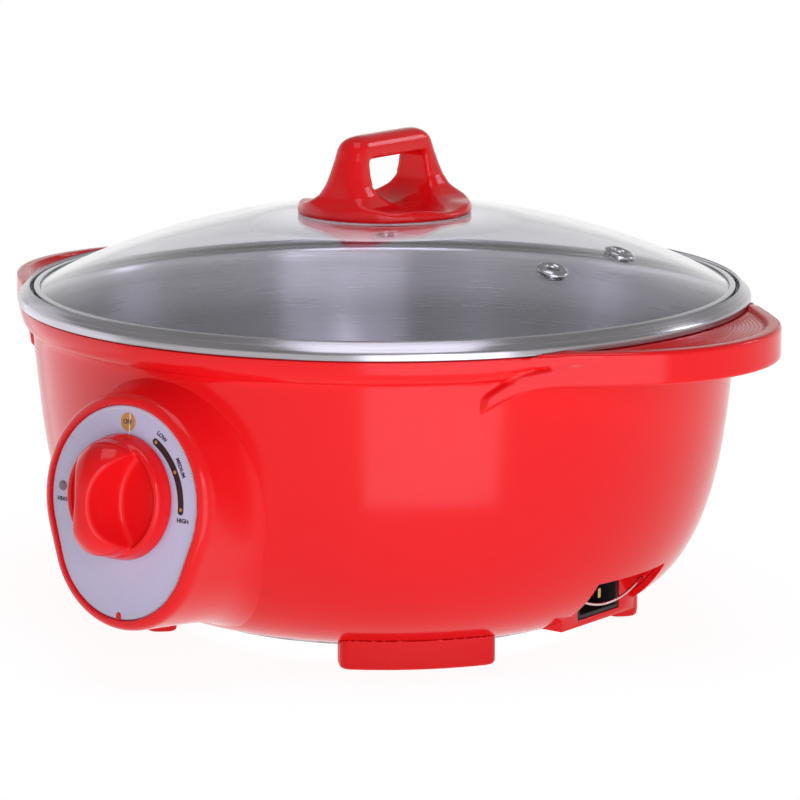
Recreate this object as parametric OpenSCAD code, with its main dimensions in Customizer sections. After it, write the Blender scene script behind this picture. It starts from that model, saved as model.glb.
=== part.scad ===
// Electric wok: a fixed stainless pot in a red moulded shell with two ears, a lift-off
// glass lid, a front control box with a thermostat knob, and a low power inlet on the right.
// Millimetres. The origin is the pot's axis on the floor, +Z up, the control panel faces -Y.

/* [Pot and rim] */
// Radius over the steel rim
rim_r = 160; // [154:0.5:168]
// Height of the rim's top edge above the floor
rim_z = 148; // [144:0.5:156]
// Width of the rim seen from above
rim_w = 5; // [4.5:0.25:6]
// Height of the rim from its top edge to the end of its skirt
rim_h = 7.2; // [6.8:0.1:8]
// Drop of the rim's sloping band before the skirt
rim_slope = 3.9; // [3:0.1:4.5]
// Thickness of the pot's sheet
pot_t = 1.2; // [1:0.1:1.4]
// Height of the cooking floor
floor_z = 43; // [41:0.5:47]
// Radius of the flat cooking floor
floor_r = 95; // [88:1:100]
// Gap between the pot's wall and the shell
pot_gap = 1.5; // [1:0.1:2]

/* [Outer shell] */
// Step from the rim in to the shell's wall
lip_step = 6; // [5:0.25:7]
// Height of the rounded lip under the rim
lip_h = 10.4; // [9:0.2:12]
// Wall thickness of the shell
shell_t = 2.8; // [2.4:0.1:3.2]
// Radius where the curved underside ends
base_r = 96; // [94:0.5:99]
// Height of the underside above the floor
base_z = 8.5; // [8:0.25:9.5]
// Lean of the wall under the lip, degrees
wall_lean = 5.1; // [4:0.1:6]
// Slope of the underside, degrees
base_lean = 9.5; // [8:0.25:11]
// Reach of the wall's curve from the lip
wall_pull = 60.5; // [56:0.5:64]
// Reach of the wall's curve from the underside
base_pull = 50; // [46:0.5:53]
// Radius of the opening in the shell's underside
opening_r = 86; // [84:0.5:87]

/* [Ears] */
// Radius of the rounded end of an ear
ear_r = 75; // [72:0.5:78]
// Reach of an ear past the rim
ear_reach = 31; // [28:0.5:33]
// Height of an ear's side band
ear_h = 13.8; // [12:0.2:15]
// Height of an ear's border above the lip
ear_rise = 1.4; // [1:0.1:2]
// Width of the border round an ear's sunk panel
ear_border = 6.5; // [5:0.25:8]
// Thickness of an ear's plate
ear_plate = 3.2; // [2.6:0.1:4]
// Thickness of an ear's side band
ear_wall = 4; // [3:0.25:5]
// Run of the side band past an ear's round end before it dies out on the wall
root_run = 58.5; // [56:0.5:60]
// Drop of the side band where it dies out
root_drop = 7.5; // [6:0.25:9]
// Height of the side band where it starts to sweep down
root_h = 8.6; // [8:0.1:9.5]

/* [Feet] */
// Outer radius of the feet
foot_r = 112; // [110:0.5:114]
// Radial thickness of a foot
foot_t = 12; // [11:0.5:13]
// Width of a foot along the ring
foot_w = 66; // [60:1:70]
// Radius of a foot's lower corners
foot_round = 3.5; // [2:0.25:5]
// Height that the rubber pads stand below the feet
pad_show = 0.6; // [0.5:0.1:1]

/* [Control box] */
// Height of the dial's centre
panel_z = 81; // [79:0.5:83]
// Reach of the fascia past the shell's wall radius
panel_reach = 20.7; // [19:0.1:22]
// Backward tilt of the fascia, degrees
panel_tilt = 5.7; // [5:0.1:6.5]
// Radius of the fascia round the dial
fascia_r = 39; // [38:0.25:40]
// Radius of the fascia's lower end
fascia_low_r = 34; // [33:0.25:35]
// Distance from the dial's centre down to that lower end's centre
fascia_drop = 15.2; // [14:0.2:17]
// Thickness of the fascia plate
fascia_t = 1; // [0.8:0.1:1.2]
// Red border of the box round the fascia
box_border = 5.5; // [5:0.25:6]
// Wall thickness of the box
box_t = 3; // [2.6:0.1:3.4]
// Rounding of the box's front edge
box_round = 4; // [3:0.25:4.5]

/* [Knob] */
// Radius of the knob's drum
knob_r = 25.3; // [24:0.1:26.5]
// Height of the drum
drum_h = 8.2; // [7.5:0.1:9]
// Height of the grip bar above the fascia
grip_h = 28; // [25:0.5:30]
// Thickness of the grip bar
grip_t = 9; // [8:0.25:10]
// Gap between the knob and the fascia
knob_gap = 0.8; // [0.6:0.1:1.2]
// Radius of the thermostat's shaft
shaft_r = 3; // [2.9:0.05:3.2]
// Radial running clearance of the shaft in its bush
shaft_run = 0.06; // [0.03:0.01:0.09]
// Radius of the lamp's place from the dial's centre
lamp_at = 33.5; // [33:0.25:34]
// Radius of the lamp's lens
lens_r = 2.4; // [2:0.1:2.6]

/* [Inlet] */
// Distance from the pot's axis to the inlet's face
inlet_x = 115; // [114:0.5:116]
// Width of the inlet's housing
housing_w = 54.6; // [53.6:0.2:56]
// Width of the notch in the shell
notch_w = 50; // [49:0.25:51]
// Height of the notch's top edge
notch_z = 34.6; // [34:0.2:35.5]
// Height of the housing's lower face
housing_z = 11.8; // [11.4:0.1:12.2]
// Thickness of the housing's walls
housing_t = 2.4; // [2:0.1:2.6]
// Width of the socket opening
socket_w = 31; // [30:0.25:32]
// Height of the socket opening
socket_h = 18.6; // [18:0.1:19]
// Thickness of the black inlet's walls
inlet_t = 1.8; // [1.5:0.1:2]
// Depth of the inlet's cavity
cavity_d = 15; // [14:0.25:16]

/* [Wire bail] */
// Radius of the bail's wire
bail_wire_r = 0.6; // [0.5:0.05:0.7]
// Distance of the bail's pivot out from the inlet's face
bail_out = 5.2; // [5:0.1:5.6]
// Drop of the bail's pivot below the notch's top edge
bail_down = 8; // [7.8:0.1:8.4]
// Sag of the wire below its pivots
bail_sag = 6.2; // [5.5:0.1:6.4]
// Radial running clearance of the bail in its holes
bail_run = 0.08; // [0.05:0.01:0.1]

/* [Lid] */
// Gap between the lid's band and the rim
lid_gap = 1.8; // [1.4:0.1:2.2]
// Width of the steel band
band_w = 2.6; // [2.4:0.1:2.8]
// Height of the steel band
band_h = 5.6; // [5.4:0.1:6]
// Thickness of the band's sheet
band_t = 0.7; // [0.6:0.05:0.8]
// Thickness of the glass
glass_t = 3.2; // [3:0.1:3.3]
// Radius of the glass dome's curve
dome_r = 340; // [330:1:350]
// Radius of the flat seat in the middle of the glass
seat_r = 40; // [39:0.5:42]
// Radius of the vent grommets' circle
vent_at = 107; // [100:1:112]
// Outer radius of a vent grommet
vent_r = 6.8; // [6:0.1:7.5]
// Radius of a vent hole
vent_hole_r = 2.5; // [2:0.1:3]
// Half the angle between the two vents
vent_half = 14.6; // [12:0.2:18]
// Angle of the vents' middle from the right ear
vent_mid = 3; // [0:0.5:6]

/* [Lid handle] */
// Radius of the handle's round base
handle_r = 38; // [37:0.25:39]
// Height of the handle over the glass
handle_h = 35.2; // [34:0.2:37]
// Thickness of the top bar
bar_t = 9.8; // [9:0.1:11]
// Half the length of the loop under its rounded top
bar_half = 27; // [26:0.25:28]
// Half the length of the loop at its middle
loop_long = 33; // [32:0.25:34]
// Half the width of the handle's finger window
window_half = 21.4; // [20.5:0.1:22]
// Half the thickness of the loop
loop_half = 7.8; // [7:0.1:8.5]

/* [Heating parts] */
// Thickness of the heat plate under the pot
heat_plate_t = 4; // [3.5:0.1:4.5]
// Radius of the heat plate
heat_plate_r = 88; // [84:0.5:91]
// Radius of the heating ring
ring_r = 62; // [58:0.5:65]
// Radius of the heating tube
tube_r = 3.5; // [3.2:0.1:3.8]
// Height of the reflector
reflector_z = 24; // [23:0.2:25]
// Radius of the reflector
reflector_r = 76; // [73:0.5:77]
// Thickness of the bottom cover
cover_t = 1.6; // [1.4:0.1:1.8]
// Radius of the bottom cover
cover_r = 94; // [93:0.25:95]
// Radius of the central stud
stud_r = 3; // [2.8:0.1:3.2]

/* [Hidden] */
$fn = 96;

// Clearances: seat is between flat faces, fit between a piece and its pocket, off to curved faces.
seat = 0.1;
fit = 0.2;
off = 0.3;
// Overrun of a cut past the face that it opens.
cut = 1;
// Segments of a wall curve and of a small arc.
curve_n = 20;
arc_n = 6;

// Heights and radii of the rim, lip and wall.
rim_in = rim_r - rim_w;
lip_z = rim_z - rim_h - 0.4;
lip_r = rim_r - 0.8;
wall_r = rim_r - lip_step;
wall_z = lip_z - lip_h;
ledge_z = lip_z + seat + pot_t;
pot_wall_r = wall_r - shell_t - pot_gap - pot_t;
pot_flare = 3.5;
lip_edge = 0.8;

function bez(p, t) = p[0] * pow(1 - t, 3) + 3 * p[1] * pow(1 - t, 2) * t
  + 3 * p[2] * (1 - t) * t * t + p[3] * pow(t, 3);
function bez_dir(p, t) = (p[1] - p[0]) * pow(1 - t, 2) + 2 * (p[2] - p[1]) * (1 - t) * t
  + (p[3] - p[2]) * t * t;
function inward(v) = [v[1], -v[0]] / norm(v);
function curve(p, inset, n) = [for (i = [0 : n]) bez(p, i / n) + inset * inward(bez_dir(p, i / n))];
function backwards(list) = [for (i = [len(list) - 1 : -1 : 0]) list[i]];
function arc(c, r, a, b, n) = [for (i = [0 : n]) let (g = a + (b - a) * i / n) c + r * [cos(g), sin(g)]];
function oval(c, rx, ry, a, b, n) =
  [for (i = [0 : n]) let (g = a + (b - a) * i / n) c + [rx * cos(g), ry * sin(g)]];

// Control points of the shell's wall, lip to underside, and of the pot's wall, ledge to floor.
wall_path = [[wall_r, wall_z],
  [wall_r - wall_pull * sin(wall_lean), wall_z - wall_pull * cos(wall_lean)],
  [base_r + base_pull * cos(base_lean), base_z + base_pull * sin(base_lean)],
  [base_r, base_z]];
pot_path = [[pot_wall_r, ledge_z - pot_flare], [pot_wall_r - 2, ledge_z - pot_flare - 60],
  [floor_r + 42, floor_z], [floor_r, floor_z]];
function wall_at(z, inset) =
  lookup(z, [for (p = backwards(curve(wall_path, inset, curve_n))) [p[1], p[0]]]);
function under_at(r, inset) =
  lookup(r, [for (p = backwards(curve(wall_path, inset, curve_n))) [p[0], p[1]]]);

// The space inside the shell's outer skin, grown by a clearance.
module shell_envelope(grow) {
  rotate_extrude() polygon(concat([[0, base_z - grow]], backwards(curve(wall_path, -grow, curve_n)),
    [[wall_r + grow, lip_z], [0, lip_z]]));
}

// Frame of the control panel: origin at the dial's centre on the fascia, +Z out of the panel.
panel_y = -(wall_r + panel_reach);
module on_panel() {
  translate([0, panel_y, panel_z]) rotate([90 - panel_tilt, 0, 0]) children();
}
function panel_point(p) = [p[0], panel_y + p[1] * sin(panel_tilt) - p[2] * cos(panel_tilt),
  panel_z + p[1] * cos(panel_tilt) + p[2] * sin(panel_tilt)];
function panel_depth(x, y, r) = (panel_y + y * sin(panel_tilt) + sqrt(r * r - x * x)) / cos(panel_tilt);

// Outline of the panel: a circle round the dial joined by tangents to a lower circle.
function egg(big, low) = let (g = asin((big - low) / fascia_drop))
  concat(arc([0, 0], big, -g, 180 + g, 32), arc([0, -fascia_drop], low, 180 + g, 360 - g, 24));
module egg_block(big, low, z0, z1) {
  translate([0, 0, z0]) linear_extrude(z1 - z0) polygon(egg(big, low));
}
module bar(r, z0, z1) {
  translate([0, 0, z0]) cylinder(r = r, h = z1 - z0);
}
module ring(r, bore, z0, z1) {
  difference() {
    bar(r, z0, z1);
    bar(bore, z0 - cut, z1 + cut);
  }
}
// A pan-head screw along +Z whose head sits under z0 and whose shank ends at z1.
function head_r(r) = 2 * r;
module screw(r, z0, z1) {
  bar(head_r(r), z0 - 1.3 * r, z0);
  bar(r, z0 - 0.01, z1);
}

// Places of the base screws, foot screws and inlet screws.
base_screw_r = 1.5;
base_screw_at = (cover_r + opening_r) / 2;
base_boss_z = base_z + shell_t + 4.7;
foot_mid = foot_r - foot_t / 2;
foot_angles = [45, 135, 225, 315];
foot_boss_z = under_at(foot_mid, 0) + 11;
foot_screw_r = 1.7;
lug_z = under_at(inlet_x, shell_t) + 5;
lug_t = 2.4;
lug_at = [inlet_x - 7, housing_w / 2 + 5];
lug_screw_r = 1.4;
lug_screw_in = 4.4;
pilot = 0.05;
module at_base_screws() {
  for (a = [30, 120, 210, 300]) rotate(a) translate([base_screw_at, 0, 0]) children();
}
module at_feet_middle() {
  for (a = foot_angles) rotate(a) translate([foot_mid, 0, 0]) children();
}
module at_lugs() {
  for (s = [-1, 1]) translate([lug_at[0], s * lug_at[1], 0]) children();
}

// Two screws hold the control box from inside the shell. Their seats are flats in the wall.
box_screw_at = [30, -22];
box_screw_r = 1.5;
box_screw_in = 12;
box_screw_z = panel_z + box_screw_at[1] * cos(panel_tilt) - 4;
box_seat = panel_depth(box_screw_at[0], box_screw_at[1], wall_at(box_screw_z, shell_t)) + 1.1;
module at_box_screws() {
  on_panel() for (s = [-1, 1]) translate([s * box_screw_at[0], box_screw_at[1], 0]) children();
}
wire_hole_z = 50;
wire_hole_r = 10;

// Ears
ear_c = rim_r + ear_reach - ear_r;
ear_top = lip_z + ear_rise;
ear_low = ear_top - ear_h;
root_from = 26;
root_lean = 4;
root_ease = 18;
root_tip = 3;
root_deep = 20;
// Outline of an ear: a round end with tangent sides that run back by the given length.
module ear_outline(r, run) {
  flank = r / sqrt(2);
  back = run / sqrt(2);
  translate([ear_c, 0]) {
    circle(r);
    polygon([[flank, -flank], [flank, flank], [flank - back, flank + back], [flank - back, -flank - back]]);
  }
}
module ear_slab(r, run, z0, z1) {
  translate([0, 0, z0]) linear_extrude(z1 - z0) ear_outline(r, run);
}
// The side band's root: a ribbon that sweeps down along the wall and narrows.
module ear_root() {
  low = [[root_from, 0], [root_run - root_ease, 0], [root_run - root_ease / 2, -root_drop / 3],
    [root_run, -root_drop]];
  high = [[root_from, root_h], [root_run - root_ease, root_h], [root_run - root_ease / 4, root_h / 2],
    [root_run + root_tip, root_tip - root_drop]];
  translate([ear_c, 0, ear_low]) rotate(-45) translate([ear_r, -root_from, 0]) rotate(-root_lean)
    translate([0, root_from, 0]) rotate([90, 0, -90]) linear_extrude(root_deep)
      polygon(concat(curve(low, 0, 8), backwards(curve(high, 0, 8))));
}
module ear() {
  difference() {
    union() {
      ear_slab(ear_r, root_from + cut, ear_low, ear_top);
      ear_slab(ear_r, root_run, ear_low + root_h - cut, ear_top);
      for (s = [0, 1]) mirror([0, s, 0]) ear_root();
    }
    ear_slab(ear_r - ear_border, root_run, lip_z - fit, ear_top + cut);
    difference() {
      ear_slab(ear_r - ear_wall, root_run + 10, ear_low - root_drop - cut, lip_z - fit - ear_plate);
      bar(wall_r + 2, 0, rim_z);
    }
    bar(rim_r + off, lip_z - fit, ear_top + cut);
    bar(wall_r - shell_t / 2, 0, rim_z);
  }
}

module outer_shell() {
  color("crimson") difference() {
    union() {
      rotate_extrude() polygon(concat(
        [[opening_r, base_z]], backwards(curve(wall_path, 0, curve_n)),
        oval([wall_r, lip_z - lip_edge], lip_r - wall_r, lip_h - lip_edge, -80, 0, arc_n),
        [[lip_r - lip_edge, lip_z], [wall_r - shell_t, lip_z]],
        curve(wall_path, shell_t, curve_n), [[opening_r, base_z + shell_t]]));
      ear();
      mirror([1, 0, 0]) ear();
      at_base_screws() bar(3.2, base_z + shell_t / 2, base_boss_z);
      at_feet_middle() bar(4, under_at(foot_mid, shell_t / 2), foot_boss_z);
      at_lugs() bar(3.5, under_at(norm(lug_at), shell_t / 2), lug_z);
    }
    at_base_screws() bar(base_screw_r + pilot, 0, base_boss_z + cut);
    at_feet_middle() bar(foot_screw_r + pilot, 0, foot_boss_z + cut);
    at_lugs() bar(lug_screw_r + pilot, lug_z - lug_screw_in - fit, lug_z + cut);
    at_box_screws() {
      bar(box_screw_r + fit, box_seat - cut, 0);
      bar(head_r(box_screw_r) + fit, box_seat - box_screw_in, box_seat);
    }
    translate([0, 0, wire_hole_z]) rotate([90, 0, 0]) bar(wire_hole_r, wall_r - 60, wall_r + 5);
    // Notch over the inlet, and the gap that the housing's block stands out through
    translate([inlet_x, -notch_w / 2, 0]) cube([80, notch_w, notch_z]);
    translate([inlet_x - 11, -housing_w / 2 - off, 0])
      cube([11 + off, housing_w + 2 * off, under_at(inlet_x, shell_t) + 2]);
    translate([inlet_back - off, -socket_w / 2 - collar - off, socket_z])
      cube([inlet_x - inlet_back, socket_w + 2 * (collar + off), socket_h]);
    // Room for the ends of the bail's pins behind the pocket's cheeks
    translate([bail_x, 0, bail_z]) rotate([90, 0, 0]) bar(bail_wire_r + off, -bail_end, bail_end);
  }
}

module inner_pot() {
  fold = rim_in + 0.4;
  color("silver") rotate_extrude() polygon(concat(
    [[0, floor_z]], backwards(curve(pot_path, 0, curve_n)),
    [[pot_wall_r + 0.6, ledge_z - 1], [pot_wall_r + 1.8, ledge_z], [rim_in - 0.6, ledge_z],
     [rim_in - 0.3, rim_z - 0.8], [fold, rim_z], [rim_r - 0.5, rim_z - rim_slope],
     [rim_r, rim_z - rim_slope - 0.6], [rim_r, rim_z - rim_h], [rim_r - pot_t, rim_z - rim_h],
     [rim_r - pot_t, rim_z - rim_slope - 1.1], [fold + pot_t * 0.75, rim_z - pot_t * 1.6],
     [rim_in - 0.6 + pot_t, ledge_z - pot_t], [pot_wall_r + 1.8, ledge_z - pot_t]],
    curve(pot_path, -pot_t, curve_n), [[0, floor_z - pot_t]]));
}

// Heating parts under the pot
plate_z = floor_z - pot_t - seat - heat_plate_t;
ring_z = plate_z - tube_r - seat;
ring_gap = 13;
ring_mid = 315;
cold_end_z = reflector_z - 3;
cover_top = base_z;
cover_z = base_z - cover_t;
tag_t = 0.8;
reflector_t = 0.8;
spacer_r = 5.5;
module at_cold_ends() {
  for (s = [-1, 1]) rotate(ring_mid + s * (ring_gap + 5)) translate([ring_r, 0, 0]) children();
}

module heat_plate() {
  color("lightgray") bar(heat_plate_r, plate_z, plate_z + heat_plate_t);
}

module heating_element() {
  color("dimgray") {
    translate([0, 0, ring_z]) rotate(ring_mid + ring_gap)
      rotate_extrude(angle = 360 - 2 * ring_gap) translate([ring_r, 0]) circle(tube_r, $fn = 32);
    at_cold_ends() bar(tube_r - 0.5, cold_end_z, ring_z);
  }
}

blade = [0.8, 6.2, 8];
bead_h = 3;
module element_terminals() {
  color("white") at_cold_ends() {
    bar(tube_r - 0.7, cold_end_z - bead_h, cold_end_z);
    translate([-blade[0] / 2, -blade[1] / 2, cold_end_z - bead_h - blade[2] + cut]) cube(blade);
  }
}

module heat_reflector() {
  color("gainsboro") difference() {
    rotate_extrude() polygon([[stud_r + fit, reflector_z], [reflector_r, reflector_z],
      [reflector_r + 2, reflector_z + 3], [reflector_r + 1, reflector_z + 3],
      [reflector_r - 0.5, reflector_z + reflector_t], [stud_r + fit, reflector_z + reflector_t]]);
    at_cold_ends() bar(tube_r + 2, 0, ring_z);
  }
}

module stud_spacers() {
  color("silver") {
    ring(spacer_r, stud_r + fit, reflector_z + reflector_t, plate_z);
    ring(spacer_r, stud_r + fit, cover_top + tag_t, reflector_z);
  }
}

module pot_stud() {
  color("silver") bar(stud_r, cover_z - 3.6, plate_z);
}

module stud_nut() {
  color("silver") difference() {
    union() {
      bar(stud_r + 5, cover_z - 0.6, cover_z);
      translate([0, 0, cover_z - 3.2]) cylinder(r = stud_r + 2.8, h = 2.7, $fn = 6);
    }
    bar(stud_r + pilot, 0, cover_z + cut);
  }
}

tag_reach = 15;
module earth_tag() {
  color("goldenrod") difference() {
    union() {
      bar(spacer_r + 1, cover_top, cover_top + tag_t);
      translate([0, -2.5, cover_top]) cube([tag_reach, 5, tag_t]);
    }
    bar(stud_r + fit, 0, cover_top + tag_t + cut);
  }
}

// The thermostat's bulb lies across the underside of the heat plate in a clip.
bulb_r = 2.4;
bulb_y = -24;
bulb_half = 22;
bulb_z = plate_z - bulb_r - seat;
module sensor_bulb() {
  color("peru") translate([-bulb_half, bulb_y, bulb_z]) rotate([0, 90, 0]) bar(bulb_r, 0, 2 * bulb_half);
}

clip_t = 1;
module sensor_clip() {
  inside = bulb_r + fit;
  color("silver") for (x = [-12, 12]) translate([x - 4, bulb_y, 0]) {
    translate([0, -inside - clip_t, bulb_z - inside - clip_t]) cube([8, 2 * (inside + clip_t), clip_t]);
    for (s = [-1, 1]) translate([0, s * (inside + clip_t / 2) - clip_t / 2, bulb_z - inside - clip_t])
      cube([8, clip_t, plate_z - bulb_z + inside + clip_t]);
    for (s = [-1, 1]) translate([0, s * (inside + 3) - 3, plate_z - clip_t]) cube([8, 6, clip_t]);
  }
}

vent_slots = 12;
slot_in = 36;
slot_out = 66;
slot_w = 4;
module base_cover() {
  color("gray") difference() {
    bar(cover_r, cover_z, cover_top);
    bar(stud_r + fit, 0, cover_top + cut);
    at_base_screws() bar(base_screw_r + fit, 0, cover_top + cut);
    for (i = [0 : vent_slots - 1]) rotate(i * 360 / vent_slots + 15)
      translate([slot_in, -slot_w / 2, 0]) cube([slot_out - slot_in, slot_w, cover_top + cut]);
  }
}

module base_screws() {
  color("silver") at_base_screws() screw(base_screw_r, cover_z, base_boss_z - cut);
}

// Feet: blocks on a ring, cut to the shell's underside, with a pocket for a rubber pad.
foot_screw_seat = 4.5;
pad_in = 3;
pad_deep = 1.4;
module foot_block(inset, z0, z1, corner) {
  half = foot_w / 2 - inset;
  intersection() {
    ring(foot_r - inset, foot_r - foot_t + inset, z0, z1);
    translate([foot_r - foot_t - 8, 0, 0]) rotate([90, 0, 90]) linear_extrude(foot_t + 16)
      polygon(concat(arc([half - corner, z0 + corner], corner, -90, 0, arc_n), [[half, z1], [-half, z1]],
        arc([corner - half, z0 + corner], corner, 180, 270, arc_n)));
  }
}
module foot(i) {
  color("firebrick") difference() {
    rotate(foot_angles[i]) difference() {
      foot_block(0, pad_show, base_z + 14, foot_round);
      foot_block(pad_in - fit, pad_show - cut, pad_show + pad_deep, 0.5);
      translate([foot_mid, 0, 0]) {
        bar(foot_screw_r + fit, 0, base_z + 20);
        bar(head_r(foot_screw_r) + fit, 0, foot_screw_seat);
      }
    }
    shell_envelope(seat);
  }
}
module foot_pads() {
  color("dimgray") for (a = foot_angles) rotate(a) difference() {
    foot_block(pad_in, 0, pad_show + pad_deep, 0.5);
    translate([foot_mid, 0, 0]) bar(2.5, -cut, pad_show + pad_deep + cut);
  }
}
module foot_screws() {
  color("silver") at_feet_middle() screw(foot_screw_r, foot_screw_seat, foot_boss_z - cut);
}

// Control box: open at the back, where it meets the shell's wall.
box_r = fascia_r + box_border;
box_low_r = fascia_low_r + box_border;
box_front = 0.6;
box_back = -75;
front_in = box_front - box_t - fascia_t - 0.6;
thermo = [36, 30, 15];
tab = [4.8, 8, 0.8];
tab_out = 7;
tab_z = front_in - 9;
lamp = [-lamp_at, 1];
boss_r = 4;
module control_box() {
  color("crimson") difference() {
    on_panel() difference() {
      union() {
        difference() {
          union() {
            egg_block(box_r, box_low_r, box_back, box_front - box_round);
            for (i = [0 : 2]) let (a = 30 * i, b = 30 * (i + 1)) hull() {
              egg_block(box_r - box_round * (1 - cos(a)), box_low_r - box_round * (1 - cos(a)),
                box_front - box_round * (1 - sin(a)) - 0.01, box_front - box_round * (1 - sin(a)));
              egg_block(box_r - box_round * (1 - cos(b)), box_low_r - box_round * (1 - cos(b)),
                box_front - box_round * (1 - sin(b)) - 0.01, box_front - box_round * (1 - sin(b)));
            }
          }
          egg_block(box_r - box_t, box_low_r - box_t, box_back - cut, front_in);
        }
        for (s = [-1, 1]) translate([s * box_screw_at[0], box_screw_at[1], 0])
          bar(boss_r, box_back, front_in + cut);
      }
      difference() {
        egg_block(fascia_r + fit, fascia_low_r + fit, -fascia_t, box_front + cut);
        fascia_key(0, -cut, 0);
      }
      for (s = [-1, 1]) translate([s * box_screw_at[0], box_screw_at[1], 0])
        bar(box_screw_r + pilot, box_back, box_seat + box_screw_in + 2);
      bar(5 + fit, front_in - cut, box_front);
      for (s = [-1, 1]) translate([s * 13, 0, 0]) {
        bar(1.5 + fit, front_in - cut, box_front);
        bar(3 + fit, -fascia_t - 1.8, box_front);
      }
      translate([lamp[0], lamp[1], 0]) bar(lens_r + 0.5 + fit, front_in - cut, box_front);
    }
    shell_envelope(seat);
  }
}

module control_box_screws() {
  color("silver") at_box_screws()
    screw(box_screw_r, box_seat, box_seat + box_screw_in);
}

// A small red key at the bottom of the recess locates the fascia.
key_w = 2.4;
key_h = 3.8;
module fascia_key(grow, z0, z1) {
  translate([-key_w / 2 - grow, -fascia_drop - fascia_low_r - cut, z0 - fascia_t])
    cube([key_w + 2 * grow, key_h + cut + grow, z1 - z0 + fascia_t]);
}

module fascia_plate() {
  color("lightsteelblue") on_panel() difference() {
    egg_block(fascia_r, fascia_low_r, -fascia_t + seat / 2, 0);
    fascia_key(fit, -cut, cut);
    bar(5 + fit, -fascia_t - cut, cut);
    translate([lamp[0], lamp[1], 0]) bar(lens_r + fit, -fascia_t - cut, cut);
  }
}

// Thermostat behind the front wall of the box, with its bush, shaft and two screws
module thermostat_body() {
  color("ivory") on_panel() difference() {
    union() {
      translate([-thermo[0] / 2, -thermo[1] / 2, front_in - thermo[2]]) cube(thermo);
      for (x = [-10, 0, 10]) translate([x - tab[0] / 2, -thermo[1] / 2 - tab_out, tab_z]) cube(tab);
    }
    bar(5 + pilot, front_in - 6, front_in + cut);
    bar(shaft_r + 0.5, front_in - thermo[2] + 2, front_in);
    for (s = [-1, 1]) translate([s * 13, 0, 0]) bar(1.5 + pilot, front_in - 8, front_in + cut);
  }
}
module thermostat_bush() {
  color("goldenrod") on_panel() ring(5, shaft_r + shaft_run, front_in - 6, -fascia_t);
}
module thermostat_screws() {
  color("silver") on_panel() for (s = [-1, 1]) translate([s * 13, 0, 0]) {
    bar(3, -fascia_t - 1.8, -fascia_t - 0.2);
    bar(1.5, front_in - 7, -fascia_t - 1.8);
  }
}
module indicator_lens() {
  color("gray") on_panel() translate([lamp[0], lamp[1], 0]) {
    bar(lens_r, -fascia_t, 0.5);
    bar(lens_r + 0.5, front_in + 0.5, -fascia_t);
  }
}
module neon_lamp() {
  color("orange") on_panel() translate([lamp[0], lamp[1], 0]) {
    bar(lens_r + 0.4, front_in - 12, front_in + 0.5);
    for (s = [-1, 1]) translate([s * 1.2, 0, 0]) bar(0.4, front_in - 17, front_in - 12);
  }
}

// Knob with its shaft
shaft_top = 16;
module knob() {
  arch = 22;
  color("red") on_panel() difference() {
    union() {
      bar(knob_r, knob_gap, drum_h - 1.2);
      translate([0, 0, drum_h - 1.2]) cylinder(r1 = knob_r, r2 = knob_r - 1.2, h = 1.2);
      intersection() {
        translate([-grip_t / 2, 0, 0]) rotate([90, 0, 90]) linear_extrude(grip_t)
          polygon(concat([[knob_r - 1, drum_h - 2], [knob_r - 1.2, drum_h]],
            oval([0, drum_h], arch, grip_h - drum_h, 0, 180, 24),
            [[1.2 - knob_r, drum_h], [1 - knob_r, drum_h - 2]]));
        bar(knob_r - 1.2, 0, grip_h + cut);
      }
    }
    for (s = [0, 180]) rotate(s) intersection() {
      bar(knob_r - 4.3, drum_h - 1.6, drum_h + cut);
      translate([grip_t / 2, -knob_r, 0]) cube([knob_r, 2 * knob_r, grip_h]);
    }
    bar(shaft_r + pilot, 0, shaft_top + fit);
    bar(knob_r - 3, 0, knob_gap + 0.8);
  }
}
module thermostat_shaft() {
  color("silver") on_panel() bar(shaft_r, front_in - thermo[2] + 3, shaft_top);
}

// Inlet: a red pocket inside the shell's notch, a black socket and its pins
face_t = housing_t;
block_back = inlet_x - 10.5;
pocket_top = notch_z + housing_t;
socket_z = housing_z + housing_t + fit;
inlet_back = inlet_x - face_t - cavity_d - 2;
bail_x = inlet_x + bail_out;
bail_z = notch_z - bail_down;
bail_end = notch_w / 2 + housing_t;
bail_bead = 0.3;
collar = 2;
module pocket_trim() {
  rotate_extrude() polygon(concat([[0, housing_z - cut]],
    [for (p = backwards(curve(wall_path, shell_t + off, curve_n))) if (p[1] > socket_z) p],
    [[0, wall_z]]));
}
module inlet_housing() {
  half = notch_w / 2;
  color("crimson") difference() {
    union() {
      translate([inlet_x - face_t, -housing_w / 2, housing_z])
        cube([face_t, housing_w, pocket_top - housing_z]);
      translate([block_back, -housing_w / 2, housing_z]) cube([inlet_x - block_back, housing_w, housing_t]);
      for (s = [0, 1]) mirror([0, s, 0]) {
        translate([block_back, housing_w / 2 - housing_t, housing_z])
          cube([inlet_x - block_back, housing_t, pocket_top - housing_z]);
        translate([lug_at[0] - 4.5, housing_w / 2 - cut, lug_z + seat]) cube([9, 11, lug_t]);
      }
      intersection() {
        union() {
          for (s = [0, 1]) mirror([0, s, 0])
            translate([inlet_x - cut, half, socket_z]) cube([40, housing_t, pocket_top - socket_z]);
          translate([inlet_x - cut, -half, notch_z]) cube([40, notch_w, housing_t]);
        }
        pocket_trim();
      }
    }
    translate([inlet_x - face_t - cut, -socket_w / 2, socket_z])
      cube([face_t + 2 * cut, socket_w, socket_h]);
    translate([bail_x, 0, bail_z]) rotate([90, 0, 0]) bar(bail_wire_r + bail_run, -half - 10, half + 10);
    at_lugs() bar(lug_screw_r + fit, lug_z - cut, lug_z + 10);
  }
}
module inlet_screws() {
  color("silver") at_lugs() translate([0, 0, 2 * (lug_z + lug_t + seat)]) mirror([0, 0, 1])
    screw(lug_screw_r, lug_z + lug_t + seat, lug_z + 2 * lug_t + lug_screw_in);
}
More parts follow.
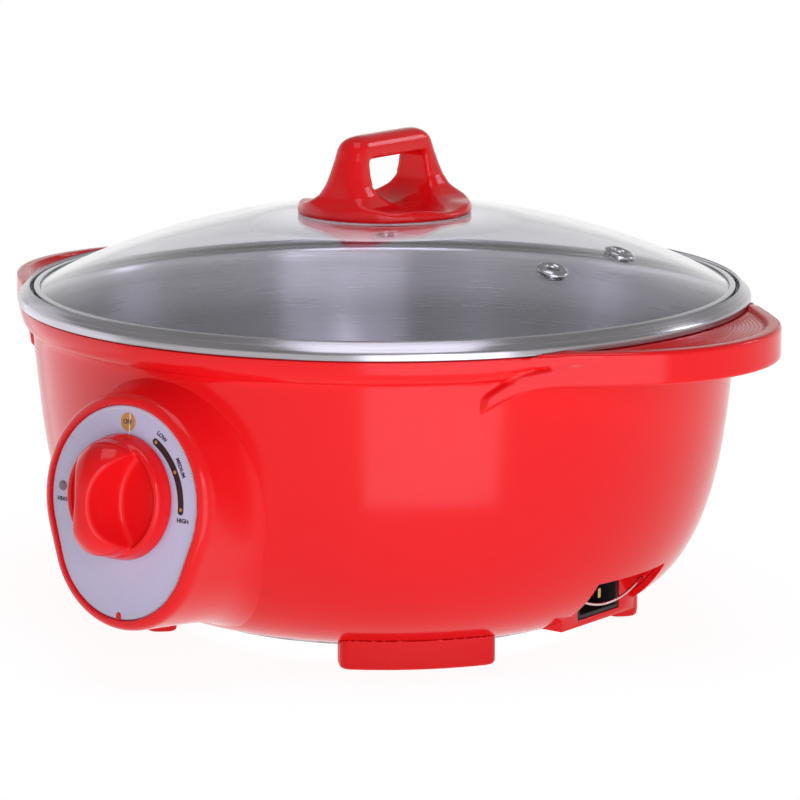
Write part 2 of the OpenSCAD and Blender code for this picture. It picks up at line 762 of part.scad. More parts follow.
module power_inlet() {
  w = socket_w - 2 * fit;
  h = socket_h - 2 * fit;
  color([0.08, 0.08, 0.1]) difference() {
    union() {
      translate([inlet_back, -w / 2, socket_z + fit]) cube([inlet_x - inlet_back - 0.4, w, h]);
      translate([inlet_x - face_t - fit - collar, -w / 2 - collar, socket_z + fit])
        cube([collar, w + 2 * collar, h]);
    }
    translate([inlet_x - cavity_d, -w / 2 + inlet_t, socket_z + fit + inlet_t])
      cube([cavity_d + cut, w - 2 * inlet_t, h - 2 * inlet_t]);
    at_pins() translate([-cut - 30, -1 - pilot, -2 - pilot]) cube([60, 2 + 2 * pilot, 4 + 2 * pilot]);
  }
}
pin_tail = 9;
live_pin = [-7, -2];
neutral_pin = [7, -2];
earth_pin = [0, 2];
function pin_point(p, out) = [inlet_back - out, p[0], socket_z + socket_h / 2 + p[1]];
module at_pins() {
  for (p = [live_pin, neutral_pin, earth_pin]) translate(pin_point(p, 0)) children();
}
module inlet_pins() {
  color("gold") at_pins() translate([-pin_tail, -1, -2]) cube([pin_tail + cavity_d, 2, 4]);
}

// Wire bail: an arc of wire between two pins that turn in the pocket's cheeks
module cord_bail() {
  half = notch_w / 2 - 1.2;
  sweep_r = (half * half + bail_sag * bail_sag) / (2 * bail_sag);
  open = asin(half / sweep_r);
  color("mistyrose") translate([bail_x, 0, bail_z]) {
    translate([0, 0, sweep_r - bail_sag]) rotate([0, 90, 0]) rotate(-open)
      rotate_extrude(angle = 2 * open) translate([sweep_r, 0]) circle(bail_wire_r, $fn = 24);
    for (s = [0, 1]) mirror([0, s, 0]) translate([0, half, 0]) {
      sphere(bail_wire_r + bail_bead, $fn = 24);
      rotate([-90, 0, 0]) bar(bail_wire_r, 0, 1.2 + housing_t - 0.3);
    }
  }
}

// Leads: one tube along hand-placed points, with a smooth curve between them
function unit(v) = v / norm(v);
function smooth(p, i, t) = let (n = len(p) - 1, a = p[max(i - 1, 0)], b = p[i], c = p[min(i + 1, n)],
    d = p[min(i + 2, n)])
  0.5 * (2 * b + (c - a) * t + (2 * a - 5 * b + 4 * c - d) * t * t + (3 * b - a - 3 * c + d) * t * t * t);
function route(p, k) = concat([for (i = [0 : len(p) - 2]) for (j = [0 : k - 1]) smooth(p, i, j / k)],
  [p[len(p) - 1]]);
function headings(q) = [for (i = [0 : len(q) - 1]) unit(q[min(i + 1, len(q) - 1)] - q[max(i - 1, 0)])];
function carried(d) = [for (i = 0, u = unit(cross(d[0], [0.3, 0.5, 0.8])); i < len(d);
  i = i + 1, u = i < len(d) ? unit(u - (u * d[i]) * d[i]) : u) u];
lead_sides = 8;
module lead(p, r) {
  q = route(p, 3);
  d = headings(q);
  u = carried(d);
  n = len(q);
  points = [for (i = [0 : n - 1]) for (j = [0 : lead_sides - 1]) let (g = j * 360 / lead_sides)
    q[i] + r * (cos(g) * u[i] + sin(g) * cross(d[i], u[i]))];
  sides = [for (i = [0 : n - 2]) for (j = [0 : lead_sides - 1])
    let (a = i * lead_sides + j, b = i * lead_sides + (j + 1) % lead_sides)
    each [[a, a + lead_sides, b], [b, a + lead_sides, b + lead_sides]]];
  polyhedron(points, concat(sides, [[for (j = [0 : lead_sides - 1]) j],
    [for (j = [lead_sides - 1 : -1 : 0]) (n - 1) * lead_sides + j]]));
}
lead_r = 1.2;
fuse_r = 2.6;
capillary_r = 0.8;
// Each lead stops just short of the tab, blade, pin or tag that it is crimped to.
tip = 0.4;
hole_y = -wall_at(wire_hole_z, shell_t / 2);
function tab_point(x, below) = panel_point([x, -thermo[1] / 2 - tab_out - below, tab_z + tab[2] / 2]);
function blade_point(s, out) = let (a = ring_mid + s * (ring_gap + 5), r = ring_r + blade[0] / 2 + out)
  [r * cos(a), r * sin(a), cold_end_z - blade[2] + 2];
function bulb_port(below) = panel_point([-15, -thermo[1] / 2 - below, front_in - 5]);
earth_z = cover_top + tag_t + lead_r + seat;
function from_pin(p) = [for (out = [tip, 2, 4]) pin_point(p, pin_tail + out)];
live_inlet_route = concat(from_pin(live_pin), [[81, -16, 21], [82, -25, 21], [80, -30, 21]]);
live_panel_route = [[68, -50, 21], [58, -66, 21], [42, -84, 22], [26, hole_y + 35, 26],
  [12, hole_y + 17, 38], [7, hole_y + 3, wire_hole_z - 2], [7, hole_y - 8, wire_hole_z + 1],
  tab_point(10, 6), tab_point(10, tip)];
neutral_route = concat(from_pin(neutral_pin), [[79, 8, 18], [77, 2, 12.9], [73, -10, 12.6],
  [69, -24, 14], blade_point(1, 8), blade_point(1, tip)]);
switched_route = [tab_point(0, tip), tab_point(0, 6), [-2, hole_y - 8, wire_hole_z + 1],
  [-1, hole_y + 3, wire_hole_z - 3], [3, hole_y + 17, 37], [14, hole_y + 39, 24], [24, -80, 17],
  [31, -70, 15], blade_point(-1, 8), blade_point(-1, tip)];
earth_route = concat(from_pin(earth_pin), [[78, 1, 22.5], [72, 3, 17], [50, 0, 12.5],
  [28, 0, earth_z], [tag_reach - 3, 0, earth_z]]);
capillary_route = [[bulb_half + tip, bulb_y, bulb_z], [28, -25, 33.6], [34, -34, 29.2], [34, -56, 29],
  [28, -80, 29.2], [16, hole_y + 39, 31], [2, hole_y + 21, 38], [-4, hole_y + 7, wire_hole_z - 4],
  [-6, hole_y - 7, wire_hole_z + 2], bulb_port(8), bulb_port(tip)];

module capillary_tube() { color("peru") lead(capillary_route, capillary_r); }
module wire_live_inlet() { color("saddlebrown") lead(live_inlet_route, lead_r); }
module wire_live_panel() { color("saddlebrown") lead(live_panel_route, lead_r); }
module wire_neutral() { color("royalblue") lead(neutral_route, lead_r); }
module wire_switched() { color("black") lead(switched_route, lead_r); }
module wire_earth() { color("yellowgreen") lead(earth_route, lead_r); }
// The fuse is crimped in line with the live lead, in a glass-fibre sleeve.
module thermal_fuse() {
  start = live_inlet_route[len(live_inlet_route) - 1];
  run = live_panel_route[0] - start;
  color("whitesmoke") translate(start) rotate([0, acos(run[2] / norm(run)), atan2(run[1], run[0])])
    bar(fuse_r, tip, norm(run) - tip);
}

// Lid
band_r = rim_in - lid_gap;
band_z = ledge_z + off;
glass_r = band_r - band_t - off;
dome_drop = dome_r - sqrt(dome_r * dome_r - pow(band_r - band_w, 2));
dome_z = band_z + band_h - band_t - seat + dome_drop;
function dome_at(r) = dome_z - dome_r + sqrt(dome_r * dome_r - r * r);
seat_blend = 6;
seat_z = dome_at(seat_r + seat_blend) - 0.9;
hole_r = 3.5;
glass_n = 24;
function glass_top(drop) = concat([[hole_r, seat_z - drop], [seat_r, seat_z - drop]],
  [for (i = [0 : glass_n]) let (r = seat_r + seat_blend + (glass_r - seat_r - seat_blend) * i / glass_n)
    [r, dome_at(r) - drop]]);
vent_angles = [vent_mid - vent_half, vent_mid + vent_half];
vent_lean = asin(vent_at / dome_r);
module at_vents() {
  for (a = vent_angles) rotate(a) translate([vent_at, 0, dome_at(vent_at)]) rotate([0, vent_lean, 0])
    children();
}

module lid_glass() {
  color([0.8, 0.85, 0.9, 0.4]) difference() {
    rotate_extrude($fn = 128) polygon(concat(glass_top(0), backwards(glass_top(glass_t))));
    at_vents() bar(vent_hole_r + 1.6, -glass_t - 3, 3);
  }
}
module lid_band() {
  low = dome_at(glass_r) - glass_t - seat;
  color("silver") rotate_extrude() polygon([[band_r - band_w, band_z], [band_r, band_z],
    [band_r, band_z + band_h], [band_r - band_w, band_z + band_h],
    [band_r - band_w, band_z + band_h - band_t], [band_r - band_t, band_z + band_h - band_t],
    [band_r - band_t, min(low, band_z + band_t)], [band_r - band_w, min(low, band_z + band_t)]]);
}
module vent_grommets() {
  color("silver") at_vents() {
    ring(vent_r, vent_hole_r, off, off + 1);
    ring(vent_r - 1, vent_hole_r, off, off + 1.6);
    ring(vent_hole_r + 1.3, vent_hole_r, -glass_t - 0.8, off + cut);
    ring(vent_r - 1.5, vent_hole_r, -glass_t - 1, -glass_t - off);
  }
}

// Handle: a round flared base and a loop with a finger window that runs along X
base_low = seat_z + off;
loop_top = seat_z + handle_h;
base_h = 5;
gasket_t = 1;
gasket_r = 22;
window_low = base_low + 3.2;
window_top = loop_top - bar_t;
window_bend = 9.5;
thread_r = 2;
// Half outline of the loop seen along an axis: a concave flank from the base and a rounded crown.
module loop_side(foot, bend, middle, top, crown) {
  low = base_low + 2.6;
  p = [[foot, low], [bend, low + 3.5], [middle, low + 13], [top, loop_top - crown[1]]];
  side = concat(curve(p, 0, 12),
    oval([top - crown[0], loop_top - crown[1]], crown[0], crown[1], 15, 90, arc_n));
  polygon(concat(side, [for (q = backwards(side)) [-q[0], q[1]]]));
}
module lid_handle() {
  color("crimson") difference() {
    union() {
      rotate_extrude() polygon(concat([[0, base_low], [handle_r - 1.5, base_low]],
        arc([handle_r - 1.6, base_low + 1.6], 1.6, -90, 60, arc_n),
        [[handle_r - 6, base_low + base_h - 1], [handle_r - 12, base_low + base_h],
         [0, base_low + base_h]]));
      intersection() {
        translate([-50, 0, 0]) rotate([90, 0, 90]) linear_extrude(100)
          loop_side(handle_r - 1, loop_long - 0.5, loop_long, bar_half, [8.5, 10.4]);
        translate([0, 50, 0]) rotate([90, 0, 0]) linear_extrude(100)
          loop_side(handle_r - 12, loop_half - 1.8, loop_half + 1.2, loop_half - 0.3, [4, 5]);
      }
    }
    translate([-60, 0, 0]) rotate([90, 0, 90]) linear_extrude(120) polygon(concat(
      oval([0, window_low + window_bend], window_half, window_bend, 180, 360, 24),
      arc([window_half - 2, window_top - 2], 2, 0, 90, arc_n),
      arc([2 - window_half, window_top - 2], 2, 90, 180, arc_n)));
    bar(gasket_r + fit, base_low - cut, seat_z + gasket_t + seat);
    bar(thread_r + pilot, base_low - cut, window_low - 0.5);
  }
}
module handle_gasket() {
  color("white") ring(gasket_r, hole_r, seat_z + seat / 2, seat_z + gasket_t);
}
washer_t = 1.2;
module handle_screw() {
  color("silver") screw(thread_r, seat_z - glass_t - washer_t - seat, window_low - 0.8);
}
module handle_washer() {
  color("silver") ring(9, thread_r + fit, seat_z - glass_t - washer_t, seat_z - glass_t - seat / 2);
}

outer_shell();
inner_pot();
heat_plate();
heating_element();
element_terminals();
heat_reflector();
stud_spacers();
pot_stud();
stud_nut();
earth_tag();
sensor_bulb();
sensor_clip();
capillary_tube();
base_cover();
base_screws();
foot(0);  // foot_back_right
foot(1);  // foot_back_left
foot(2);  // foot_front_left
foot(3);  // foot_front_right
foot_pads();
foot_screws();
control_box();
control_box_screws();
fascia_plate();
thermostat_body();
thermostat_bush();
thermostat_screws();
indicator_lens();
neon_lamp();
inlet_housing();
inlet_screws();
power_inlet();
inlet_pins();
thermal_fuse();
wire_live_inlet();
wire_live_panel();
wire_neutral();
wire_switched();
wire_earth();
cord_bail();
knob();
thermostat_shaft();
lid_glass();
lid_band();
lid_handle();
handle_gasket();
handle_screw();
handle_washer();
vent_grommets();
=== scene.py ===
import math
from functools import reduce

import bmesh
import bpy
import numpy as np
from mathutils import Matrix, Vector


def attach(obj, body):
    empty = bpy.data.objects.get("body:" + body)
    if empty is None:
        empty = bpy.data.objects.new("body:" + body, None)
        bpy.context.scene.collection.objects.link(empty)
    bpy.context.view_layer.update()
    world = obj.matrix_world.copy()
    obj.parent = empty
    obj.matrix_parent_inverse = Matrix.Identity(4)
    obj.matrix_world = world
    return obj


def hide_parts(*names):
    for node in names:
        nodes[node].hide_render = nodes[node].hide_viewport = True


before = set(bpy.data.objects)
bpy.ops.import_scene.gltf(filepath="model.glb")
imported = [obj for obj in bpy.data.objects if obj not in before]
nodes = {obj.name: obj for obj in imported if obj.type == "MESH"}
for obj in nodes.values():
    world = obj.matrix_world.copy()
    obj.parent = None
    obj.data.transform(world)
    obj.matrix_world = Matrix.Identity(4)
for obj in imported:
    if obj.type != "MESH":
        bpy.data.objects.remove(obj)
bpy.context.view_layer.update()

# Outer shell: one injection moulding in glossy red plastic. Its bowl wall ends above in a
# rounded lip that carries the pot's rim, and below in a flange for the bottom cover. A notch low
# on the right side leaves room for the power inlet. Sizes of parts are in millimetres.
per_m = 1000
wall_r, wall_z, shell_t = 154.0, 130.0, 2.8
lip_r, lip_z, lip_mid, lip_h = 159.2, 140.4, 139.6, 9.6
opening_r, base_r, base_z = 86.0, 96.0, 8.5
inlet_x, notch_w, notch_z = 115.0, 50.0, 34.6
housing_w, housing_in, housing_slack, block_z = 54.6, 104, 0.3, 20.4
below, beyond = -5, 200
noise_span = (0.3, 0.7)
drift_scale, gloss_scale, peel_depth = 9, 70, 0.0003


def bezier(path, count):
    """Points along a cubic curve that is given by its four control points."""
    t = np.linspace(0, 1, count)[:, None]
    a, b, c, d = (np.array(p, float) for p in path)
    return a * (1 - t) ** 3 + 3 * b * (1 - t) ** 2 * t + 3 * c * (1 - t) * t * t + d * t ** 3


def inset(curve, wall):
    """The curve moved by a wall thickness towards the inside of the bowl."""
    run = np.gradient(curve, axis=0)
    side = np.stack([run[:, 1], -run[:, 0]], 1)
    return curve + wall * side / np.linalg.norm(side, axis=1)[:, None]


def oval(centre, radius, start, end, count, height=None):
    """Points on a circle, or an ellipse of another half height, between two angles in degrees."""
    g = np.radians(np.linspace(start, end, count))
    return np.stack([centre[0] + radius * np.cos(g), centre[1] + (height or radius) * np.sin(g)], 1)


def soften(mesh, crease):
    """Smooth shading that keeps every edge sharper than the crease angle crisp."""
    mesh.polygons.foreach_set("use_smooth", [True] * len(mesh.polygons))
    mesh.set_sharp_from_angle(angle=math.radians(crease))


def show(name, data):
    """A new object in the scene that holds the given data."""
    piece = bpy.data.objects.new(name, data)
    bpy.context.scene.collection.objects.link(piece)
    return piece


def solid(name, points, faces, crease=35):
    """A closed mesh object from points in millimetres, with its faces turned outwards."""
    mesh = bpy.data.meshes.new(name)
    mesh.from_pydata((np.asarray(points, float) / per_m).tolist(), [], faces)
    shape = bmesh.new()
    shape.from_mesh(mesh)
    bmesh.ops.recalc_face_normals(shape, faces=shape.faces)
    shape.to_mesh(mesh)
    shape.free()
    soften(mesh, crease)
    return show(name, mesh)


def lathe(name, profile, steps, crease=35):
    """A closed loop of (radius, height) points turned round the pot's axis."""
    g = np.linspace(0, 2 * np.pi, steps, endpoint=False)
    points, rows, faces = [], [], []
    for radius, height in profile:
        first = len(points)
        if radius == 0:
            points.append((0, 0, height))
            rows.append([first] * steps)
        else:
            points.extend(zip(radius * np.cos(g), radius * np.sin(g), np.full(steps, height)))
            rows.append(list(range(first, first + steps)))
    for low, high in zip(rows, rows[1:] + rows[:1]):
        for i in range(steps):
            j = (i + 1) % steps
            face = list(dict.fromkeys((low[i], low[j], high[j], high[i])))
            if len(face) > 2:
                faces.append(face)
    return solid(name, points, faces, crease)


def block(name, low, high):
    """A plain box between two corners, used as a cutter."""
    xs, ys, zs = zip(low, high)
    corners = [(x, y, z) for x in xs for y in ys for z in zs]
    sides = [(0, 1, 3, 2), (4, 6, 7, 5), (0, 4, 5, 1), (2, 3, 7, 6), (0, 2, 6, 4), (1, 5, 7, 3)]
    return solid(name, corners, sides)


def worked_mesh(piece):
    """A new mesh of the piece's shape with its modifiers worked in."""
    graph = bpy.context.evaluated_depsgraph_get()
    return bpy.data.meshes.new_from_object(piece.evaluated_get(graph))


def plain_mesh(piece, crease):
    """The piece with its modifiers worked into one plain mesh."""
    mesh = worked_mesh(piece)
    piece.modifiers.clear()
    piece.data = mesh
    soften(mesh, crease)
    return piece


def carve(piece, *cutters, crease=35):
    """The piece with the cutters taken out of it."""
    for cutter in cutters:
        cut = piece.modifiers.new("cut", "BOOLEAN")
        cut.operation, cut.solver, cut.object = "DIFFERENCE", "EXACT", cutter
    plain_mesh(piece, crease)
    for cutter in cutters:
        bpy.data.objects.remove(cutter)
    return piece


def fit(piece, body, slot, material, *replaced):
    """Gives a finished piece its material and joins it to the body that it moves with."""
    piece.data.materials.clear()
    piece.data.materials.append(material)
    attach(piece, body)
    if replaced:
        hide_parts(*replaced)
    return piece


def feed(tree, target, source):
    """Links a socket to a node's first output or to another socket, or sets its constant."""
    if isinstance(source, bpy.types.Node):
        source = source.outputs[0]
    if isinstance(source, bpy.types.NodeSocket):
        tree.links.new(source, target)
    else:
        target.default_value = source


def maker(tree):
    """A function that adds a node to the tree and feeds its sockets, by place or by capitalised
    name. A list feeds one socket several times, and the other named values are settings."""
    def add(kind, *sources, **named):
        made = tree.nodes.new(kind)
        for key in filter(str.islower, named):
            setattr(made, key, named[key])
        sockets = [(key.replace("_", " "), named[key]) for key in named if not key.islower()]
        for socket, source in [*enumerate(sources), *sockets]:
            for one in source if isinstance(source, list) else [source]:
                feed(tree, made.inputs[socket], one)
        return made

    return add


def finish(name):
    """A new material, a maker of its nodes and a function that feeds its main shader."""
    material = bpy.data.materials.new(name)
    material.use_nodes = True
    tree = material.node_tree

    def wear(**sockets):
        for socket, source in sockets.items():
            feed(tree, tree.nodes["Principled BSDF"].inputs[socket.replace("_", " ")], source)

    return material, maker(tree), wear


def here(add):
    """The coordinates of a place on the object, in metres."""
    return add("ShaderNodeTexCoord").outputs["Object"]


def grain(add, vector, scale, detail=2.0):
    """A noise texture on the given coordinates."""
    return add("ShaderNodeTexNoise", Vector=vector, Scale=scale, Detail=detail).outputs["Fac"]


def spread(add, value, low, high):
    """A noise value spread over a range of numbers."""
    return add("ShaderNodeMapRange", value, *noise_span, low, high)


def shades(add, value, dark, light):
    """A noise value turned into a colour between two shades."""
    ramp = add("ShaderNodeValToRGB", value)
    for stop, place, shade in zip(ramp.color_ramp.elements, noise_span, (dark, light)):
        stop.position, stop.color = place, (*shade, 1)
    return ramp.outputs["Color"]


def relief(add, value, strength, depth):
    """A noise value turned into a bump of the given depth in metres."""
    return add("ShaderNodeBump", Height=value, Strength=strength, Distance=depth)


def moulded(name, dark, light, gloss, peel, peel_scale=420.0):
    """Moulded plastic: faint colour drift, uneven gloss and the fine waves of a moulded skin."""
    material, add, wear = finish(name)
    at = here(add)
    wear(IOR=1.5, Specular_IOR_Level=0.25,
         Base_Color=shades(add, grain(add, at, drift_scale), dark, light),
         Roughness=spread(add, grain(add, at, gloss_scale), *gloss),
         Normal=relief(add, grain(add, at, peel_scale), peel, peel_depth))
    return material


glossy_red = moulded("glossy_red_plastic", (0.82, 0.006, 0.009), (0.86, 0.009, 0.012),
                     (0.12, 0.19), 0.05)
wall = bezier(((wall_r, wall_z), (148.62, 69.74), (145.31, 16.75), (base_r, base_z)), 72)
lip = oval((wall_r, lip_mid), lip_r - wall_r, -80, 0, 14, lip_h)
shell_profile = np.concatenate([
    [(opening_r, base_z)], wall[::-1][:-1], [(154.1, 129.45), (154.35, 129.95)], lip,
    [(159.1, 140.0), (158.75, 140.3), (158.2, lip_z), (wall_r - shell_t, lip_z)],
    inset(wall, shell_t), [(opening_r, base_z + shell_t)]])
shell = lathe("shell_wall", shell_profile, 288)
housing_half = housing_w / 2 + housing_slack
carve(shell,
      block("notch", (inlet_x, -notch_w / 2, below), (beyond, notch_w / 2, notch_z)),
      block("housing_gap", (housing_in, -housing_half, below),
            (inlet_x + housing_slack, housing_half, block_z)))
fit(shell, "cooker", "red_shell", glossy_red, "outer_shell")

# Ears: two carrying ears moulded in one with the shell. Each has a flat top with a raised border
# round a sunk ribbed panel, and a side band that sweeps down and dies out on the bowl's wall.
# A sweep is given by its height, its start along the side, its run, its power and its limit.
ear_c, ear_r, ear_top, ear_low = 116.0, 75.0, 141.8, 127.8
ear_border, ear_plate, ear_band, ear_step = 6.5, 3.2, 5.0, 0.9
side_top, side_end, side_lean, side_lean_from = 136.4, 61.5, 0.09, 26
border_low, border_lean, border_lean_from = 134.2, 0.05, 14
crest_sweep, border_sweep = (1.3, 28, 21), (2.0, 14, 8)
low_sweep, high_sweep = (7.5, 28, 30.5, 2.2, 1.4), (13.5, 20, 41.7, 2.6, 1.4)
collar_x, collar_out, collar_in, collar_end = 60, 0.4, 2.3, 70
collar_low, collar_high, rim_room_r = 117, 140, 160.4
panel_z = lip_z - 0.2
rib_count, rib_first, rib_pitch, rib_r, rib_sunk = 18, 67.1, 1.7, 0.42, 0.24
rib_half, rib_clear_r = math.radians(62), 161.8


def smin(a, b, k):
    """The union of two fields with a fillet of about k."""
    h = np.maximum(k - np.abs(a - b), 0) / k
    return np.minimum(a, b) - h * h * k / 4


def smax(a, b, k):
    """The overlap of two fields with a rounded edge of about k."""
    return -smin(-a, -b, k)


def overlap(*fields):
    """The overlap of fields with crisp edges."""
    return reduce(np.maximum, fields)


def skin(name, field, low, high, step, place=None):
    """A closed mesh on the zero level of a field that is negative inside: one point per grid cell
    that the level crosses, drawn on to it along the slope, and one face per crossed grid edge."""
    axes = [np.arange(a - 2 * step, b + 2.5 * step, step) for a, b in zip(low, high)]
    value = field(*np.meshgrid(*axes, indexing="ij"))
    cells = np.array(value.shape) - 1
    total, count, quads = np.zeros((cells.prod(), 3)), np.zeros(cells.prod()), []
    for axis in range(3):
        b, c = (axis + 1) % 3, (axis + 2) % 3
        near = np.moveaxis(np.moveaxis(value, axis, 0)[:-1], 0, axis)
        far = np.moveaxis(np.moveaxis(value, axis, 0)[1:], 0, axis)
        edge = np.argwhere((near < 0) != (far < 0))
        edge = edge[(edge[:, [b, c]] > 0).all(1) & (edge[:, [b, c]] < cells[[b, c]]).all(1)]
        start, end = near[tuple(edge.T)], far[tuple(edge.T)]
        crossing = edge.astype(float)
        crossing[:, axis] += start / (start - end)
        ring = []
        for db, dc in ((-1, -1), (0, -1), (0, 0), (-1, 0)):
            cell = edge.copy()
            cell[:, b] += db
            cell[:, c] += dc
            flat = np.ravel_multi_index(cell.T, cells)
            np.add.at(total, flat, crossing)
            np.add.at(count, flat, 1)
            ring.append(flat)
        quad = np.stack(ring, 1)
        quad[start >= 0] = quad[start >= 0][:, ::-1]
        quads.append(quad)
    used, index = np.unique(np.concatenate(quads), return_inverse=True)
    points = total[used] / count[used][:, None] * step + [a[0] for a in axes]
    e = 0.05 * step
    for _ in range(3):
        slope = np.stack([(field(*(points + e * d).T) - field(*(points - e * d).T)) / (2 * e)
                          for d in np.eye(3)], 1)
        move = -(field(*points.T) / (np.square(slope).sum(1) + 1e-6))[:, None] * slope
        reach = np.linalg.norm(move, axis=1)[:, None]
        points = points + move * np.minimum(1, 0.5 * step / (reach + 1e-9))
    if place is not None:
        points = place(points)
    return solid(name, points, index.reshape(-1, 4).tolist(), 50)


body_r, body_z = np.concatenate([wall[::-1][:-1], lip]).T


def bowl_r(z):
    """Radius of the bowl's outer skin at a height."""
    return np.interp(z, body_z, body_r)


def sweep(along, height, start, run, power=1, limit=1):
    """How far an edge has gone up or down at a place along the ear's side."""
    return height * np.clip((along - start) / run, 0, limit) ** power


def ear_field(x, y, z):
    y = np.abs(y)
    r, px, bowl = np.hypot(x, y), x - ear_c, bowl_r(z)
    along = np.maximum((y - px) / math.sqrt(2), 0)
    edge = np.where(px > y, np.hypot(px, y), (px + y) / math.sqrt(2)) - ear_r
    side = edge + side_lean * np.maximum(along - side_lean_from, 0)
    low = ear_low - sweep(along, *low_sweep)
    high = side_top - sweep(along, *high_sweep)
    ribbon = smax(smax(side, low - z, 1.4), smax(z - high, -(side + ear_band), 1.0), 1.6)
    ribbon = smax(ribbon, along - side_end, 2.0)
    flank = edge + border_lean * np.maximum(along - border_lean_from, 0)
    crest = ear_top - sweep(along, *crest_sweep)
    border = smax(smax(flank, z - crest, 2.2), border_low + sweep(along, *border_sweep) - z, 0.8)
    border = smax(border, -smax(edge + ear_border, panel_z - z, 1.0), 0.9)
    hollow = smax(edge + ear_band, z - (panel_z - ear_plate), 0.8)
    border = np.maximum(border, -hollow)
    collar = overlap(r - (bowl - collar_out), bowl - collar_in - r, along - collar_end,
                     collar_low - z, z - collar_high, collar_x - x)
    ear = smin(smin(ribbon, border, 1.5), collar, 4.0)
    rim_room = np.maximum(r - rim_room_r, panel_z - z)
    return overlap(ear, -rim_room, edge, bowl - collar_in - r)


ear_right = skin("ear_right", ear_field, (96, -105, 114), (192, 105, 143), ear_step)
ear_left = show("ear_left", ear_right.data.copy())
ear_left.data.name = "ear_left"
ear_left.data.transform(Matrix.Diagonal((-1, 1, 1, 1)))
ear_left.data.flip_normals()
for ear in (ear_right, ear_left):
    fit(ear, "cooker", "red_shell", glossy_red)


def node_tree(name, **inputs):
    """A geometry node tree with named number inputs, those inputs and a maker of nodes."""
    tree = bpy.data.node_groups.new(name, "GeometryNodeTree")
    for label, value in inputs.items():
        kind = "NodeSocketInt" if isinstance(value, int) else "NodeSocketFloat"
        socket = tree.interface.new_socket(label, in_out="INPUT", socket_type=kind)
        socket.default_value = value
    tree.interface.new_socket("Geometry", in_out="OUTPUT", socket_type="NodeSocketGeometry")
    return tree, tree.nodes.new("NodeGroupInput").outputs, maker(tree)


def grow(name, tree, add, geometry, material):
    """Ends a tree in realised instances with a material and returns its result as a piece."""
    real = add("GeometryNodeRealizeInstances", geometry)
    add("NodeGroupOutput", add("GeometryNodeSetMaterial", real, Material=material))
    piece = show(name, bpy.data.meshes.new(name))
    piece.modifiers.new(name, "NODES").node_group = tree
    plain_mesh(piece, 50)
    piece.data.name = name
    return piece


def panel_ribs(name, turn):
    """Fine ribs on an ear's sunk panel, each an arc parallel to the ear's round end."""
    tree, size, add = node_tree(name, ribs=rib_count, first_radius=rib_first / per_m,
                                pitch=rib_pitch / per_m, rib_radius=rib_r / per_m)
    arc = add("GeometryNodeCurveArc", Resolution=72, Radius=1.0, Start_Angle=-rib_half,
              Sweep_Angle=2 * rib_half)
    line = add("GeometryNodeMeshLine", Count=size["ribs"], Offset=(0, 0, 0))
    index, place = add("GeometryNodeInputIndex"), add("GeometryNodeInputPosition")
    step = add("ShaderNodeMath", index, size["pitch"], operation="MULTIPLY")
    radius = add("ShaderNodeMath", size["first_radius"], step, operation="SUBTRACT")
    arcs = add("GeometryNodeInstanceOnPoints", Points=line, Instance=arc, Scale=radius)
    middle = (ear_c / per_m, 0, panel_z / per_m - rib_sunk / per_m)
    lines = add("GeometryNodeSetPosition", add("GeometryNodeRealizeInstances", arcs), Offset=middle)
    flat = add("ShaderNodeVectorMath", place, (1, 1, 0), operation="MULTIPLY")
    away = add("ShaderNodeVectorMath", flat, operation="LENGTH").outputs["Value"]
    near = add("FunctionNodeCompare", A=away, B=rib_clear_r / per_m, operation="LESS_THAN")
    kept = add("GeometryNodeDeleteGeometry", lines, Selection=near)
    ring = add("GeometryNodeCurvePrimitiveCircle", Resolution=8, Radius=size["rib_radius"])
    rods = add("GeometryNodeCurveToMesh", kept, Profile_Curve=ring, Fill_Caps=True)
    turned = add("GeometryNodeTransform", rods, Rotation=(0, 0, turn))
    return grow(name, tree, add, turned, glossy_red)


for name, turn in (("ear_ribs_right", 0), ("ear_ribs_left", math.pi)):
    fit(panel_ribs(name, turn), "cooker", "red_shell", glossy_red)

# Inner pot: a deep drawn stainless pan, brushed round its axis, whose colour is darkened lower
# down as painted shade. Its edge is folded over the shell's lip into a rim with a short skirt,
# and a ledge inside carries the lid.
pot_t, pot_floor_z, rim_r, rim_in, rim_z = 1.2, 43.0, 160.0, 155.0, 148.0
ledge_z, pot_wall_r, skirt_z = 141.7, 148.5, 140.8
# Painted shade on the pot's steel: below these heights in metres its colour falls to this share.
painted_shade_below, painted_shade_above, painted_shade_share = 0.110, 0.130, 0.55
streak_round, streak_detail, streak_bump, streak_depth = 3.0, 3.0, 0.05, 0.0001


def brushed(name, dark, light, gloss, across, lean, painted_shade=None):
    """Steel brushed round the vertical axis, with fine turned streaks that draw highlights out
    upright. Where given, the last argument holds two heights in metres and the share of colour
    left below them, as painted shade that darkens the steel lower down."""
    material, add, wear = finish(name)
    at = here(add)
    split = add("ShaderNodeSeparateXYZ", at).outputs
    turn = add("ShaderNodeMath", split["Y"], split["X"], operation="ARCTAN2")
    flat = add("ShaderNodeVectorMath", at, (1, 1, 0), operation="MULTIPLY")
    away = add("ShaderNodeVectorMath", flat, operation="LENGTH").outputs["Value"]
    turned = add("ShaderNodeCombineXYZ", turn, away, split["Z"])
    streaks = (streak_round, across, across)
    fine = grain(add, add("ShaderNodeVectorMath", turned, streaks, operation="MULTIPLY"), 1.0,
                 streak_detail)
    colour = shades(add, fine, dark, light)
    # Painted shade: the steel's colour is scaled down below a height.
    if painted_shade:
        level = add("ShaderNodeMapRange", split["Z"], *painted_shade, interpolation_type="SMOOTHSTEP")
        colour = add("ShaderNodeVectorMath", colour, Scale=level, operation="SCALE")
    wear(Metallic=1.0, Anisotropic=lean, Anisotropic_Rotation=0.25, Base_Color=colour,
         Roughness=spread(add, fine, *gloss), Normal=relief(add, fine, streak_bump, streak_depth),
         Tangent=add("ShaderNodeTangent", direction_type="RADIAL", axis="Z"))
    return material


